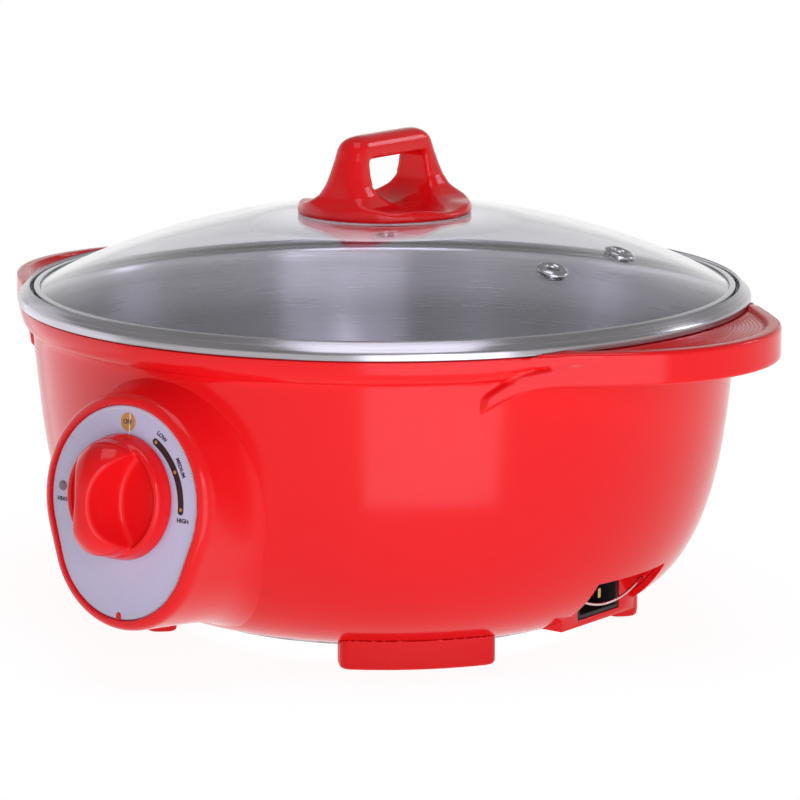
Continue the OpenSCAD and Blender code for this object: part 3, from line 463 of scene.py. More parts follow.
pot_steel = brushed("brushed_pot_steel", (0.74, 0.73, 0.78), (0.88, 0.87, 0.92), (0.26, 0.36),
                    1500, 0.85, (painted_shade_below, painted_shade_above, painted_shade_share))
# The rolled rim takes a darker copy of the pot's steel: its darker colour is painted shade, its
# gloss and brushing are its own.
rim_steel_painted_shade = brushed("rolled_rim_painted_shade_steel", (0.34, 0.33, 0.35), (0.48, 0.46, 0.49), (0.18, 0.30),
                    1200, 0.7)
pot_wall = bezier(((pot_wall_r, 138.2), (146.5, 78.2), (137, pot_floor_z), (95, pot_floor_z)), 56)
pot_profile = np.concatenate([
    [(0, pot_floor_z)], pot_wall[::-1],
    [(148.9, 140.2), (149.5, 141.2), (150.3, ledge_z), (154.1, ledge_z), (154.4, 142.0),
     (154.62, 146.6), (154.8, 147.35), (155.05, 147.8), (155.4, rim_z), (155.8, 147.85),
     (159.2, 144.45), (159.65, 143.95), (159.9, 143.4), (rim_r, 142.8), (rim_r, skirt_z + 0.2),
     (159.8, skirt_z), (159.0, skirt_z), (158.8, skirt_z + 0.2), (158.8, 142.9), (156.3, 146.1),
     (155.6, 140.5), (150.3, 140.5)],
    inset(pot_wall, -pot_t), [(0, pot_floor_z - pot_t)]])
pot = fit(lathe("pot", pot_profile, 288), "cooker", "steel_pot", pot_steel, "inner_pot")
pot.data.materials.append(rim_steel_painted_shade)
# Faces of the rim above the ledge or outside its inner radius take the darker steel, painted shade.
for face in pot.data.polygons:
    radius, height = face.center.xy.length * per_m, face.center.z * per_m
    face.material_index = int(height > ledge_z + 0.2 or radius > rim_in)

# Heating parts: a cast aluminium heat plate, a tubular ring element with steel terminals, and a
# reflector. A stud with spacers and a nut clamps them under the pot, with the earth tag on it.
cast_bump, plain_bump, metal_depth, metal_detail = 0.2, 0.06, 0.0002, 4.0


def dress(material, *names):
    """Gives CAD nodes that keep their own shape a material."""
    for name in names:
        nodes[name].data.materials.clear()
        nodes[name].data.materials.append(material)


def speckled(name, dark, light, gloss, scale, detail, bump, depth, **sockets):
    """A finish whose colour, gloss and skin all follow one fine noise."""
    material, add, wear = finish(name)
    fine = grain(add, here(add), scale, detail)
    wear(Base_Color=shades(add, fine, dark, light), Roughness=spread(add, fine, *gloss),
         Normal=relief(add, fine, bump, depth), **sockets)
    return material


def metal(name, dark, light, gloss, scale, bump=plain_bump):
    """Plain metal with a fine uneven skin."""
    return speckled(name, dark, light, gloss, scale, metal_detail, bump, metal_depth, Metallic=1.0)


cast_aluminium = metal("cast_aluminium", (0.56, 0.56, 0.58), (0.74, 0.74, 0.76), (0.35, 0.55),
                       900, cast_bump)
plain_steel = metal("plain_steel", (0.48, 0.48, 0.50), (0.66, 0.66, 0.68), (0.22, 0.36), 1400)
oxide_metal = metal("oxide_metal", (0.07, 0.07, 0.08), (0.16, 0.15, 0.15), (0.45, 0.7),
                    700, cast_bump)
brass = metal("brass", (0.66, 0.47, 0.18), (0.82, 0.62, 0.30), (0.2, 0.34), 1200)
dress(cast_aluminium, "heat_plate", "heat_reflector")
dress(oxide_metal, "heating_element")
dress(plain_steel, "element_terminals", "stud_spacers", "pot_stud", "stud_nut", "sensor_clip")
dress(brass, "earth_tag", "sensor_bulb", "capillary_tube")

# Bottom cover: a galvanised sheet disc with ventilation slots, whose zinc coat shows the usual
# crystal spangle. Four screws with cross recesses in their heads hold it to the shell's flange.
# The sizes of the screws are in metres, as their node tree takes them.
spangle_scale = 140
screw_count, screw_circle, screw_turn, head_z = 4, 0.090, math.radians(30), 0.0069
head_r, head_h, shank_r, shank_h = 0.003, 0.00195, 0.0015, 0.0081
recess = (head_r * 1.25, head_r * 0.26, head_h)
recess_z = -head_h * 0.55
zinc, add, wear = finish("galvanised_sheet")
spangle = add("ShaderNodeTexVoronoi", Vector=here(add), Scale=spangle_scale)
tone = add("ShaderNodeSeparateColor", spangle.outputs["Color"]).outputs
wear(Metallic=0.9, Roughness=spread(add, tone["Green"], 0.32, 0.5),
     Base_Color=shades(add, tone["Red"], (0.33, 0.34, 0.36), (0.50, 0.51, 0.53)))
dress(zinc, "base_cover")

tree, size, add = node_tree("cover_screws", count=screw_count, circle=screw_circle,
                            head_radius=head_r, head_height=head_h)
head = add("GeometryNodeMeshCylinder", Vertices=40, Radius=size["head_radius"],
           Depth=size["head_height"])
cuts = []
for turn in (0, math.pi / 2):
    blade = add("GeometryNodeMeshCube", Size=recess)
    cuts.append(add("GeometryNodeTransform", blade, Rotation=(0, 0, turn),
                    Translation=(0, 0, recess_z)))
recessed = add("GeometryNodeMeshBoolean", Mesh_1=head, Mesh_2=cuts, operation="DIFFERENCE")
shank = add("GeometryNodeMeshCylinder", Vertices=24, Radius=shank_r, Depth=shank_h)
raised = add("GeometryNodeTransform", shank, Translation=(0, 0, (head_h + shank_h) / 2))
screw = add("GeometryNodeJoinGeometry", [recessed, raised])
ring = add("GeometryNodeMeshCircle", Vertices=size["count"], Radius=size["circle"])
placed = add("GeometryNodeTransform", ring, Rotation=(0, 0, screw_turn),
             Translation=(0, 0, head_z - head_h / 2))
screws = add("GeometryNodeInstanceOnPoints", Points=placed, Instance=screw)
fit(grow("cover_screws", tree, add, screws, plain_steel), "cooker", "steel_parts", plain_steel,
    "base_screws")

# Feet: four moulded blocks in a satin red, screwed up into the shell from below. Each has
# rounded edges and a pocket underneath with a dark rubber pad that the wok stands on.
foot_r, foot_t, foot_half, foot_low, foot_gap = 112.0, 12.0, 33.0, 0.25, 0.05
pad_in, pocket_z, foot_step = 2.8, 2.0, 0.7
satin_red = moulded("satin_red_plastic", (0.74, 0.006, 0.009), (0.79, 0.009, 0.012),
                    (0.34, 0.46), 0.10, 700)
under_r, under_z = wall[::-1][:40].T


def foot_field(x, y, z):
    r, y = np.hypot(x, y), np.abs(y)
    sides = smax(smax(r - foot_r, foot_r - foot_t - r, 1.0), y - foot_half, 3.5)
    body = smax(sides, foot_low - z, 2.4)
    body = np.maximum(body, z - (np.interp(r, under_r, under_z) - foot_gap))
    pocket = overlap(r - foot_r + pad_in, foot_r - foot_t + pad_in - r, y - foot_half + pad_in,
                     z - pocket_z)
    return np.maximum(body, -pocket)


for name, angle in (("foot_back_right", 45), ("foot_back_left", 135), ("foot_front_left", 225),
                    ("foot_front_right", 315)):
    c, s = math.cos(math.radians(angle)), math.sin(math.radians(angle))
    turn = np.array([[c, -s, 0], [s, c, 0], [0, 0, 1]])
    foot = skin(name + "_block", foot_field, (92, -36, 0), (114, 36, 16), foot_step,
                lambda points: points @ turn.T)
    fit(foot, "cooker", "foot_red", satin_red, name)

pad_rubber = moulded("pad_rubber", (0.012, 0.011, 0.011), (0.022, 0.020, 0.020), (0.6, 0.8),
                     0.3, 1500)
dress(pad_rubber, "foot_pads")
dress(plain_steel, "foot_screws")

# Control box: a red moulded housing on the front of the shell, an egg-shaped tube that slopes up
# to the bowl at its top and flares out on it elsewhere. Its rounded front has a sunk seat for the
# fascia, a hole for the thermostat's bush and one for the lamp.
panel_y, dial_z, tilt = -174.7, 81.0, math.radians(5.7)
egg_y, egg_drop, fascia_r, fascia_low_r = -1.6, 15.2, 39.0, 34.0
box_r, box_low_r, box_front, box_t, front_t = 44.2, 38.8, 1.3, 3, 4.0
flare, flare_run, slope, slope_from = 2.2, 5.5, 0.22, 5
box_sunk, box_step, fascia_t, seat_slack = 1.6, 0.85, 1.0, 0.25
bush_hole_r, lamp_hole_r, lamp_at = 5.3, 3.1, (-33.5, 0.3)


def panel_place(x, y, z):
    """A panel place (right, up, out of the fascia) as a place of the whole object."""
    return (x, panel_y + y * math.sin(tilt) - z * math.cos(tilt),
            dial_z + y * math.cos(tilt) + z * math.sin(tilt))


def on_panel(points):
    """Rows of panel places as rows of places of the whole object."""
    return np.stack(panel_place(*np.asarray(points, float).T), 1)


def egg(x, y, big, low):
    """Distance from the outline of a circle round the dial joined to a smaller circle below it."""
    px, py = np.abs(x), egg_y - y
    b = (big - low) / egg_drop
    a = math.sqrt(1 - b * b)
    k = -b * px + a * py
    lower = np.where(k > a * egg_drop, np.hypot(px, py - egg_drop) - low, a * px + b * py - big)
    return np.where(k < 0, np.hypot(px, py) - big, lower)


def box_field(x, y, z):
    gx, gy, gz = panel_place(x, y, z)
    gap = np.hypot(gx, gy) - bowl_r(gz)
    up = (y - egg_y) / (np.hypot(x, y - egg_y) + 0.001)
    spread_out = (flare + flare * np.minimum(up, 0) ** 2) * np.exp(-np.maximum(gap, 0) / flare_run)
    rise = slope * np.maximum(up, 0) ** 2 * np.maximum(box_front - slope_from - z, 0)
    body = smax(egg(x, y, box_r, box_low_r) - spread_out - rise, z - box_front, 6.0)
    room = np.maximum(egg(x, y, box_r - box_t, box_low_r - box_t), z + front_t)
    body = overlap(body, -room, -(gap + box_sunk))
    seat = np.maximum(egg(x, y, fascia_r + seat_slack, fascia_low_r + seat_slack), -(z + fascia_t))
    bush_hole = np.hypot(x, y) - bush_hole_r
    lamp_hole = np.hypot(x - lamp_at[0], y - lamp_at[1]) - lamp_hole_r
    return overlap(smax(body, -seat, 0.6), -bush_hole, -lamp_hole)


control_box = skin("control_box_moulding", box_field, (-50, -64, -62), (50, 51, 1), box_step,
                   on_panel)
fit(control_box, "cooker", "red_shell", glossy_red, "control_box")
dress(plain_steel, "control_box_screws")

# Fascia: a thin sheet with a satin grey print and a bevelled edge, glued into the box's seat and
# located by a key. On it are printed a pale line along the edge, an amber OFF disc with a white
# mark, a dark arc slot with three amber dots, and the words of the heat steps.
key_half, key_top, key_foot, key_slack, key_low, key_high = 0.95, -48.0, -51.8, 0.25, -1.1, 0.05
line_gap, line_w, line_clear, sheet_low, sheet_edge = 0.9, 0.75, 0.9, -0.95, 0.5
print_low, print_h, scale_y, scale_r, slot_half = -0.02, 0.10, -1.8, 30.2, 1.45
slot_start, slot_end, dots_start, dots_sweep = 29.8, 91.0, 0.5, 59
dot_count, dot_r, dot_h, word_h, word_z, word_weight = 3, 0.75, 0.3, 0.08, 0.078, 0.05
off_y, off_r, off_mark = 30.8, 3.85, [(0.68, 25.6), (1.1, 25.6), (1.1, 34.4), (0.68, 34.4)]


def printed(name, dark, light, gloss):
    """Silk-screen ink or a satin printed sheet, with a fine speckle."""
    return speckled(name, dark, light, gloss, 2600, 3.0, 0.05, 0.0001, IOR=1.46)


fascia_grey = printed("fascia_grey_print", (0.54, 0.51, 0.69), (0.60, 0.57, 0.75), (0.28, 0.40))
amber_ink = printed("amber_ink", (0.50, 0.22, 0.045), (0.60, 0.28, 0.06), (0.35, 0.5))
dark_ink = printed("dark_ink", (0.016, 0.008, 0.007), (0.028, 0.013, 0.011), (0.35, 0.5))
pale_ink = printed("pale_ink", (0.58, 0.57, 0.66), (0.64, 0.63, 0.72), (0.3, 0.42))
white_ink = printed("white_ink", (0.80, 0.80, 0.82), (0.90, 0.90, 0.90), (0.35, 0.5))


def egg_outline(big, low, key):
    """Outline of the fascia, counter-clockwise, with the notch for the key."""
    g = math.degrees(math.asin((big - low) / egg_drop))
    half = math.degrees(math.asin(key / low))
    low_at = (0, egg_y - egg_drop)
    return np.concatenate([oval((0, egg_y), big, -g, 180 + g, 97),
                           oval(low_at, low, 180 + g, 270 - half, 44)[1:],
                           oval((0, key_top - key + 0.1), key, 180, 0, 9),
                           oval(low_at, low, 270 + half, 360 - g, 44)[:-1]])


def plate(name, outline, low, high):
    """A flat plate of the given outline between two heights on the panel."""
    n = len(outline)
    points = [(x, y, z) for z in (low, high) for x, y in outline]
    faces = [list(range(n))[::-1], list(range(n, 2 * n))]
    faces += [(i, (i + 1) % n, n + (i + 1) % n, n + i) for i in range(n)]
    return solid(name, on_panel(points), faces)


def round_edges(piece, width, segments, angle, crease):
    """The piece with its edges sharper than an angle slightly rounded."""
    edge = piece.modifiers.new("edge", "BEVEL")
    edge.width, edge.segments = width / per_m, segments
    edge.limit_method, edge.angle_limit = "ANGLE", math.radians(angle)
    return plain_mesh(piece, crease)


key_line = np.concatenate([
    [(key_half, key_foot)], oval((0, key_top - key_half), key_half, 0, 180, 15),
    [(-key_half, key_foot)]])
fit(plate("fascia_key", key_line, key_low, key_high), "cooker", "red_shell", glossy_red)
fascia_line = egg_outline(fascia_r, fascia_low_r, key_half + key_slack)
fascia = round_edges(plate("fascia_sheet", fascia_line, sheet_low, 0), sheet_edge, 3, 60, 30)
fit(fascia, "cooker", "fascia_grey", fascia_grey, "fascia_plate")


def patch(name, outline, ink, high=print_h):
    """A printed patch on the fascia, as a thin plate."""
    fit(plate(name, outline, print_low, high), "cooker", "fascia_grey", ink)


line_key = key_half + line_clear
outer, inner = (egg_outline(fascia_r - gap, fascia_low_r - gap, line_key)
                for gap in (line_gap, line_gap + line_w))
notch = [i for i, (x, y) in enumerate(outer) if abs(x) <= line_key and y < egg_y - egg_drop]
order = [*range(notch[-1] + 1, len(outer)), *range(notch[0])]
patch("fascia_border_line", np.concatenate([outer[order], inner[order][::-1]]), pale_ink)
patch("dial_off_disc", oval((0, off_y), off_r, 0, 360, 49)[:-1], amber_ink)
patch("dial_off_mark", off_mark, white_ink, print_h * 1.3)
start, end, middle = 90 - slot_start, 90 - slot_end, (0, scale_y)
tips = oval(middle, scale_r, start, end, 2)
slot = np.concatenate([oval(middle, scale_r + slot_half, end, start, 33),
                       oval(tips[0], slot_half, start, start + 180, 9)[1:-1],
                       oval(middle, scale_r - slot_half, start, end, 33),
                       oval(tips[1], slot_half, end + 180, end + 360, 9)[1:-1]])
patch("dial_scale_slot", slot, dark_ink)
tree, size, add = node_tree("dial_dots", dots=dot_count, circle=scale_r / per_m,
                            dot_radius=dot_r / per_m)
arc = add("GeometryNodeCurveArc", Radius=size["circle"], Start_Angle=math.radians(dots_start),
          Sweep_Angle=math.radians(dots_sweep))
spots = add("GeometryNodeCurveToPoints", arc, Count=size["dots"])
dot = add("GeometryNodeMeshCylinder", Vertices=20, Radius=size["dot_radius"], Depth=dot_h / per_m)
dots = add("GeometryNodeInstanceOnPoints", Points=spots, Instance=dot)
laid = add("GeometryNodeTransform", dots, Rotation=(math.pi / 2 - tilt, 0, 0),
           Translation=tuple(on_panel([(0, scale_y, 0)])[0] / per_m))
fit(grow("dial_dots", tree, add, laid, amber_ink), "cooker", "fascia_grey", amber_ink)
for name, text, size, place, turn in (
        ("dial_word_off", "OFF", 2.7, (-0.3, 30.7), 0),
        ("dial_word_low", "LOW", 2.5, (18.3, 26.8), -33),
        ("dial_word_medium", "MEDIUM", 2.3, (29.0, 15.4), -61),
        ("dial_word_high", "HIGH", 2.5, (31.6, -6.0), 0),
        ("dial_word_heating", "HEATING", 2.3, (-31.2, -5.2), 0)):
    curve = bpy.data.curves.new(name, "FONT")
    curve.body, curve.size, curve.extrude, curve.offset = text, size, word_h, word_weight
    curve.align_x, curve.align_y, curve.resolution_u = "CENTER", "CENTER", 3
    letters = show(name, curve)
    mesh = worked_mesh(letters)
    bpy.data.objects.remove(letters)
    mesh.transform(Matrix.Translation((*place, word_z))
                   @ Matrix.Rotation(math.radians(turn), 4, "Z"))
    points, faces = [v.co for v in mesh.vertices], [list(p.vertices) for p in mesh.polygons]
    fit(solid(name, on_panel(points), faces), "cooker", "fascia_grey", dark_ink)

# Thermostat and lamp: a thermostat behind the box's front with a brass bush and steel shaft, and
# a smoked lens on the fascia with a neon lamp behind it.
lens_grey = moulded("smoked_lens", (0.24, 0.17, 0.20), (0.31, 0.23, 0.26), (0.10, 0.2), 0.02)
thermo_plastic = moulded("thermostat_plastic", (0.62, 0.58, 0.47), (0.70, 0.66, 0.55),
                         (0.45, 0.6), 0.1, 900)
lamp_amber = moulded("neon_lamp_glass", (0.75, 0.22, 0.05), (0.85, 0.30, 0.08), (0.08, 0.15), 0.02)
lens_profile = [(0, -1.0), (2.1, -1.0), (2.1, 0.1), (1.9, 0.35), (1.4, 0.55), (0.7, 0.66), (0, 0.7)]
lens = lathe("lamp_lens", lens_profile, 48, 60)
points = np.array([v.co for v in lens.data.vertices]) * per_m + (*lamp_at, 0)
for vertex, spot in zip(lens.data.vertices, on_panel(points) / per_m):
    vertex.co = spot
fit(lens, "cooker", "lamp_lens", lens_grey, "indicator_lens")
dress(thermo_plastic, "thermostat_body")
dress(brass, "thermostat_bush")
dress(plain_steel, "thermostat_screws", "thermostat_shaft")
dress(lamp_amber, "neon_lamp")

# Knob: one red moulding on the thermostat's shaft. A low drum carries a domed grip, and a scoop
# on each side leaves an arched bar that widens towards its ends, with a small pointer at the top.
knob_r, knob_low, knob_step, bore_r, bore_top = 26.2, 0.8, 0.45, 3.05, 16.2
drum_h, drum_taper, taper_h, grip_taper, grip_z = 8.4, 0.24, 8, 0.05, 8.8
dome_x, dome_y, dome_h, dome_sunk, dome_power, dome_size = 16.0, 25.2, 27.7, 0.4, 2.5, 9.0
scoop_at, scoop_r, scoop_floor, scoop_end = 29.6, 26.0, 6.6, 21.8
nib_y, nib_z, nib_half, nib_size = 24.2, 5.0, (2.0, 1.7, 3.4), 1.8


def knob_field(x, y, z):
    r = np.hypot(x, y)
    taper = r - (knob_r - drum_taper * np.minimum(z - knob_low, taper_h)
                 - grip_taper * np.maximum(z - grip_z, 0))
    drum = smax(smax(taper, z - drum_h, 2.0), knob_low - z, 0.8)
    up = np.maximum(z - drum_h + dome_sunk, 0) / (dome_h - drum_h + dome_sunk)
    dome = dome_size * ((x / dome_x) ** 2 + (np.abs(y) / dome_y) ** dome_power + up * up - 1)
    dome = smax(smax(dome, taper, 2.0), knob_low + 2 - z, 0.5)
    scoop = smax(np.hypot(np.abs(x) - scoop_at, y) - scoop_r, scoop_floor - z, 3.0)
    body = smax(smin(drum, dome, 1.6), -smax(scoop, r - scoop_end, 0.6), 1.7)
    nib = np.hypot(x / nib_half[0], (y - nib_y) / nib_half[1])
    nib = nib_size * (np.hypot(nib, (z - nib_z) / nib_half[2]) - 1)
    return np.maximum(smin(body, nib, 1.0), -np.maximum(r - bore_r, z - bore_top))


knob = skin("knob_moulding", knob_field, (-27, -27, 0), (27, 27.4, 29), knob_step, on_panel)
fit(knob, "knob", "red_shell", glossy_red, "knob")

# Power inlet: a red pocket set in the shell's notch, a black socket with three brass pins in it,
# and a thin wire bail on two pins that hangs in front of the socket and holds the lead's connector.
bail_x, bail_z, bail_half, bail_sag, bail_r, bail_sides = 120.2, 26.6, 23.8, 6.2, 0.6, 16
pin_places = (27.1, 26.0, 24.9, 24.3)


def merged_copy(node, name, edge_width):
    """A copy of a CAD node with its loose triangles joined and its edges slightly rounded."""
    piece = show(name, nodes[node].data.copy())
    shape = bmesh.new()
    shape.from_mesh(piece.data)
    bmesh.ops.remove_doubles(shape, verts=shape.verts, dist=1e-6)
    bmesh.ops.dissolve_limit(shape, angle_limit=math.radians(1), verts=shape.verts,
                             edges=shape.edges)
    shape.to_mesh(piece.data)
    shape.free()
    return round_edges(piece, edge_width, 2, 50, 35)


black_plastic = moulded("black_socket_plastic", (0.010, 0.010, 0.012), (0.018, 0.018, 0.020),
                        (0.32, 0.46), 0.2, 1500)
# The bail's chrome is tinted pink and darkened as a painted reflection of the red shell round it.
chrome_wire_painted_reflection = metal("chrome_wire_painted_reflection", (0.56, 0.44, 0.44), (0.70, 0.57, 0.57), (0.08, 0.16), 1500, 0.02)
fit(merged_copy("inlet_housing", "inlet_pocket", 0.5), "cooker", "red_shell", glossy_red,
    "inlet_housing")
fit(merged_copy("power_inlet", "inlet_socket", 0.3), "cooker", "black_plastic", black_plastic,
    "power_inlet")
dress(brass, "inlet_pins")
dress(plain_steel, "inlet_screws")
sweep_r = (bail_half ** 2 + bail_sag ** 2) / (2 * bail_sag)
sweep_end = math.asin(bail_half / sweep_r)
g = np.linspace(-sweep_end, sweep_end, 61)
sag = np.stack([np.full(len(g), bail_x), sweep_r * np.sin(g),
                bail_z + sweep_r - bail_sag - sweep_r * np.cos(g)], 1)
pins = [[(bail_x, s * y, bail_z) for y in pin_places] for s in (-1, 1)]
path = np.concatenate([pins[0], sag, pins[1][::-1]])
run = np.gradient(path, axis=0)
run /= np.linalg.norm(run, axis=1)[:, None]
side = np.cross(run, (1.0, 0.0, 0.0))
side /= np.linalg.norm(side, axis=1)[:, None]
up = np.cross(run, side)
points, faces = [], []
for i in range(len(path)):
    for j in range(bail_sides):
        g = 2 * math.pi * j / bail_sides
        points.append(path[i] + bail_r * (math.cos(g) * side[i] + math.sin(g) * up[i]))
last = len(points) - bail_sides
for low in range(0, last, bail_sides):
    high = low + bail_sides
    for j in range(bail_sides):
        k = (j + 1) % bail_sides
        faces.append((low + j, low + k, high + k, high + j))
faces += [tuple(range(bail_sides)), tuple(range(last, len(points)))]
bail = solid("bail_loop", points, faces, 60)
fit(bail, "bail", "bail_wire", chrome_wire_painted_reflection, "cord_bail")

# Leads: plastic-covered wires from the inlet's pins to the thermostat, the element and the earth
# tag, with a thermal fuse in a white sleeve in the live lead.
for name, dark, light, *wires in (
        ("brown_lead", (0.14, 0.05, 0.02), (0.18, 0.07, 0.03), "wire_live_inlet",
         "wire_live_panel"),
        ("blue_lead", (0.02, 0.07, 0.34), (0.03, 0.09, 0.40), "wire_neutral"),
        ("black_lead", (0.010, 0.010, 0.010), (0.018, 0.018, 0.018), "wire_switched"),
        ("green_lead", (0.14, 0.34, 0.02), (0.40, 0.42, 0.03), "wire_earth"),
        ("white_sleeve", (0.66, 0.65, 0.60), (0.76, 0.75, 0.70), "thermal_fuse")):
    dress(moulded(name, dark, light, (0.4, 0.55), 0.08, 1200), *wires)

# Lid glass: a tempered clear dome with a flat seat in the middle that runs smoothly into the dome,
# a hole there for the handle's screw and two holes for the vents. A steel band holds its edge.
dome_sphere, dome_apex, glass_t, glass_r, glass_bevel = 340.0, 181.97, 3.2, 152.2, 0.4
seat_r, seat_z, hole_r, blend_r, blend_pull = 40.0, 177.94, 3.5, 64.0, 8
vent_at, vent_angles, vent_hole_r = 107.0, (-11.6, 17.6), 4.1
wave_scale, wave_bump, wave_depth = 14, 0.02, 0.0006


def dome_z(r):
    """Height of the dome's outer face at a radius."""
    return dome_apex - dome_sphere + np.sqrt(dome_sphere ** 2 - np.square(r))


def at_vent(piece, angle):
    """The piece moved from the pot's axis to a vent, on the glass and square to the dome."""
    lean = math.asin(vent_at / dome_sphere)
    vent = (Matrix.Rotation(math.radians(angle), 4, "Z")
            @ Matrix.Translation((vent_at, 0, dome_z(vent_at))) @ Matrix.Rotation(lean, 4, "Y"))
    piece.data.transform(Matrix.Scale(1 / per_m, 4) @ vent @ Matrix.Scale(per_m, 4))
    return piece


clear_glass, add, wear = finish("lid_glass_clear")
wear(IOR=1.47, Roughness=0.0, Transmission_Weight=1.0, Base_Color=(0.94, 0.935, 0.97, 1),
     Normal=relief(add, grain(add, here(add), wave_scale, 1.0), wave_bump, wave_depth))
radii = np.linspace(blend_r, glass_r, 60)
blend_z, edge_z = dome_z(blend_r), dome_z(glass_r)
fall = blend_r / math.sqrt(dome_sphere ** 2 - blend_r ** 2)
shoulder = bezier(((seat_r, seat_z), (seat_r + blend_pull, seat_z),
                   (blend_r - blend_pull, blend_z + blend_pull * fall), (blend_r, blend_z)), 17)
top = np.concatenate([[(hole_r, seat_z)], shoulder[:-1], np.stack([radii, dome_z(radii)], 1)])
glass_edge = [(glass_r, edge_z - glass_bevel), (glass_r, edge_z - glass_t + glass_bevel)]
glass = lathe("lid_dome", np.concatenate([top, glass_edge, top[::-1] - (0, glass_t)]), 256)
cut_profile = [(0, -8), (vent_hole_r, -8), (vent_hole_r, 6), (0, 6)]
carve(glass, *(at_vent(lathe("vent_cut", cut_profile, 48), angle) for angle in vent_angles),
      crease=40)
fit(glass, "lid", "clear_glass", clear_glass, "lid_glass")

# Lid band: a thin steel channel rolled round the glass's edge, polished and lightly brushed.
# It stands just above the pot's ledge.
band_r, band_w, band_z, band_h, band_t = 153.2, 2.6, 142.0, 5.6, 0.7
band_steel = brushed("band_steel", (0.46, 0.46, 0.49), (0.60, 0.60, 0.63), (0.16, 0.26), 1200, 0.7)
band_in, band_top = band_r - band_w, band_z + band_h
lower_lip = min(edge_z - glass_t - 0.1, band_z + band_t)
band_profile = [(band_in, band_z), (band_r - 0.3, band_z), (band_r, band_z + 0.3),
                (band_r, band_top - 0.5), (band_r - 0.15, band_top - 0.15),
                (band_r - 0.5, band_top), (band_in + 0.2, band_top), (band_in, band_top - 0.2),
                (band_in, band_top - band_t), (band_r - band_t, band_top - band_t),
                (band_r - band_t, lower_lip), (band_in, lower_lip)]
fit(lathe("lid_rim_band", band_profile, 288), "lid", "steel_pot", band_steel, "lid_band")

# Vent grommets: two turned steel eyelets riveted through the glass, each with a
# raised collar and a hole for the steam.
eyelet_steel = metal("eyelet_steel", (0.34, 0.34, 0.36), (0.50, 0.50, 0.52), (0.12, 0.22),
                     1200, 0.04)
eyelet_profile = [(2.5, -4.0), (5.3, -4.0), (5.3, -3.5), (3.8, -3.4), (3.8, 0.3), (6.6, 0.3),
                  (6.8, 0.5), (6.7, 1.0), (6.2, 1.35), (5.6, 1.5), (5.1, 1.9), (4.2, 1.9),
                  (3.4, 1.6), (2.8, 1.2), (2.5, 0.6)]
vents, other = (at_vent(lathe("vent_eyelets", eyelet_profile, 64, 50), angle)
                for angle in vent_angles)
both = bmesh.new()
both.from_mesh(vents.data)
both.from_mesh(other.data)
both.to_mesh(vents.data)
both.free()
bpy.data.objects.remove(other)
soften(vents.data, 50)
fit(vents, "lid", "steel_parts", eyelet_steel, "vent_grommets")

# Lid handle: a red moulded loop that grows out of a round flared base. The finger window runs
# through it. A screw with a washer holds it from under the glass, on a silicone gasket.
# The loop's half length and half thickness are given by height.
base_low, handle_r, base_h, base_sunk, loop_top = 178.02, 38.5, 5.0, 0.6, 213.14
swell, swell_r, swell_spread, handle_step = 0.9, 20, 300, 0.7
window_half, window_low, window_bend, window_top = 19.8, 181.44, 11.0, 203.34
gasket_r, gasket_z = 22.2, 179.04
half_long = [(180.8, 37.0), (182.0, 36.3), (184.5, 35.2), (188, 34.1), (192, 33.2), (196, 32.0),
             (200, 30.5), (203, 29.2), (208, 27.6), (214, 25.8)]
half_thick = [(180.8, 27.0), (182.0, 22.5), (184.5, 17.0), (188, 12.6), (192, 10.0), (196, 8.8),
              (200, 8.2), (204, 7.8), (209, 7.2), (214, 6.6)]


def handle_field(x, y, z):
    r, x, y = np.hypot(x, y), np.abs(x), np.abs(y)
    top = z - base_low - base_h + base_sunk - swell * np.exp(-(r - swell_r) ** 2 / swell_spread)
    base = smax(smax(r - handle_r, base_low - z, 1.6), top, 3.2)
    sides = smax(y - np.interp(z, *zip(*half_long)), x - np.interp(z, *zip(*half_thick)), 7.0)
    loop = smax(sides, smax(z - loop_top, base_low + 1 - z, 1.0), 6.5)
    body = smax(smin(base, loop, 5.0), r - handle_r, 2.0)
    bend = z - (window_low + window_bend)
    arch = np.where(bend > 0, y - window_half,
                    window_bend * (np.hypot(y / window_half, bend / window_bend) - 1))
    body = smax(body, -smax(arch, z - window_top, 3.0), 2.6)
    return overlap(body, base_low - z, -np.maximum(r - gasket_r, z - gasket_z))


handle = skin("handle_moulding", handle_field, (-39, -39, 178), (39, 39, 213.6), handle_step)
fit(handle, "lid", "red_shell", glossy_red, "lid_handle")
silicone = moulded("silicone", (0.60, 0.58, 0.56), (0.68, 0.66, 0.64), (0.5, 0.65), 0.1, 900)
dress(silicone, "handle_gasket")
dress(plain_steel, "handle_screw", "handle_washer")

# Studio, in metres: a round white table top that keeps a soft shadow, a white surround, one large
# soft light at the right that reaches below the table with a small lamp before it, one overhead,
# and a panel at each side. A long-lens camera looks from a little above the rim.
floor_r, floor_sides, floor_glow, floor_share, floor_least = 0.28, 120, 1.28, 0.37, 0.35
fade_from, fade_to, unseen_sky, seen_sky = 0.06, 0.45, (0.75, 0.05), (1.0, 0.4)
lamp_tint = (0.97, 0.95, 1.10)
camera_turn, camera_far, camera_z, camera_lens = math.radians(37.5), 1.8, 0.444, 187.4
camera_aim = (math.radians(79.0), 0, math.radians(37.288))


def ray_kinds(add):
    """1 for rays from the camera, through glass or off a gloss, 0 for all others."""
    path = add("ShaderNodeLightPath").outputs
    seen = path["Is Camera Ray"]
    for kind in ("Is Transmission Ray", "Is Glossy Ray"):
        seen = add("ShaderNodeMath", seen, path[kind], operation="MAXIMUM")
    return seen


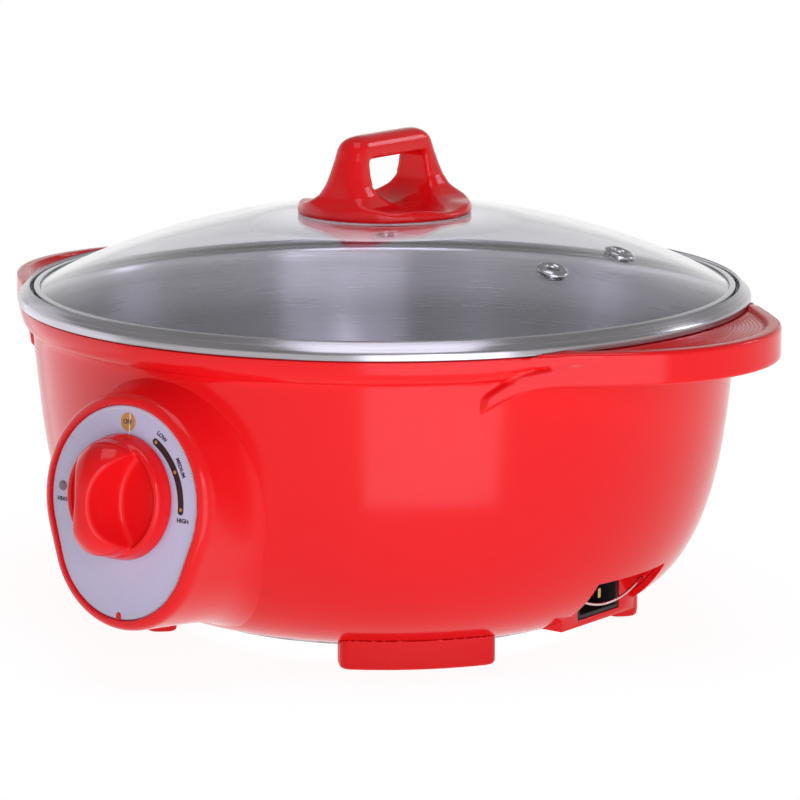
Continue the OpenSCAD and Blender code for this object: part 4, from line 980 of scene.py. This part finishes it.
pale_ground, add, wear = finish("pale_ground")
wear(Base_Color=(0.8, 0.8, 0.8, 1), Roughness=0.9)
ground = pale_ground.node_tree
share = add("ShaderNodeMath", ray_kinds(add), floor_share, floor_least, operation="MULTIPLY_ADD")
glow = add("ShaderNodeEmission", Strength=floor_glow)
mix = add("ShaderNodeMixShader", share, ground.nodes["Principled BSDF"], glow)
feed(ground, ground.nodes["Material Output"].inputs["Surface"], mix)
floor_mesh = bpy.data.meshes.new("floor")
floor_turns = np.radians(np.arange(floor_sides) * 360 / floor_sides)
floor_mesh.from_pydata([(floor_r * math.cos(g), floor_r * math.sin(g), 0) for g in floor_turns],
                       [], [tuple(range(floor_sides))])
floor = show("floor", floor_mesh)
floor.data.materials.append(pale_ground)

world = bpy.data.worlds.new("surround")
bpy.context.scene.world = world
world.use_nodes = True
sky = world.node_tree
sky_add = maker(sky)
ways = sky_add("ShaderNodeTexCoord").outputs["Generated"]
height = sky_add("ShaderNodeSeparateXYZ", ways).outputs["Z"]


def surround(level, overhead):
    """A white surround of one level at the horizon and below, which changes to another overhead."""
    fade = sky_add("ShaderNodeMapRange", height, fade_from, fade_to, level, overhead)
    return sky_add("ShaderNodeBackground", Color=(1, 1, 1, 1), Strength=fade)


both_skies = sky_add("ShaderNodeMixShader", ray_kinds(sky_add), surround(*unseen_sky),
                     surround(*seen_sky))
feed(sky, sky.nodes["World Output"].inputs["Surface"], both_skies)
sky.nodes.remove(sky.nodes["Background"])


def soft_light(name, azimuth, distance, low, high, width, glow, aim_z):
    """An upright soft panel of the given radiance, at an azimuth from the front to the right."""
    lamp = bpy.data.lights.new(name, "AREA")
    lamp.shape, lamp.size, lamp.size_y = "RECTANGLE", width, high - low
    lamp.energy = math.pi * width * (high - low) * glow
    lamp.color = lamp_tint
    light = show(name, lamp)
    g = math.radians(azimuth)
    light.location = (distance * math.sin(g), -distance * math.cos(g), (low + high) / 2)
    aim = Vector((0, 0, aim_z)) - light.location
    light.rotation_euler = aim.to_track_quat("-Z", "Y").to_euler()


soft_light("front_right_softbox", 53, 2.2, -1.9, 1.2, 1.8, 2.05, -0.35)
soft_light("overhead_softbox", 40, 0.25, 1.0, 1.8, 0.8, 2.1, 0.1)
soft_light("key_lamp", 52, 2.1, 0.75, 1.15, 0.3, 6.0, 0.1)
soft_light("right_panel", 150, 1.6, 0.7, 1.15, 0.35, 5.0, 0.1)
soft_light("left_panel", -80, 1.6, -0.7, 1.0, 1.9, 0.55, 0.1)

camera = show("camera", bpy.data.cameras.new("camera"))
camera.data.lens, camera.data.sensor_width = camera_lens, 36
camera.location = (camera_far * math.sin(camera_turn), -camera_far * math.cos(camera_turn),
                   camera_z)
camera.rotation_euler = camera_aim
bpy.context.scene.camera = camera
bpy.context.scene.view_settings.view_transform = "Standard"
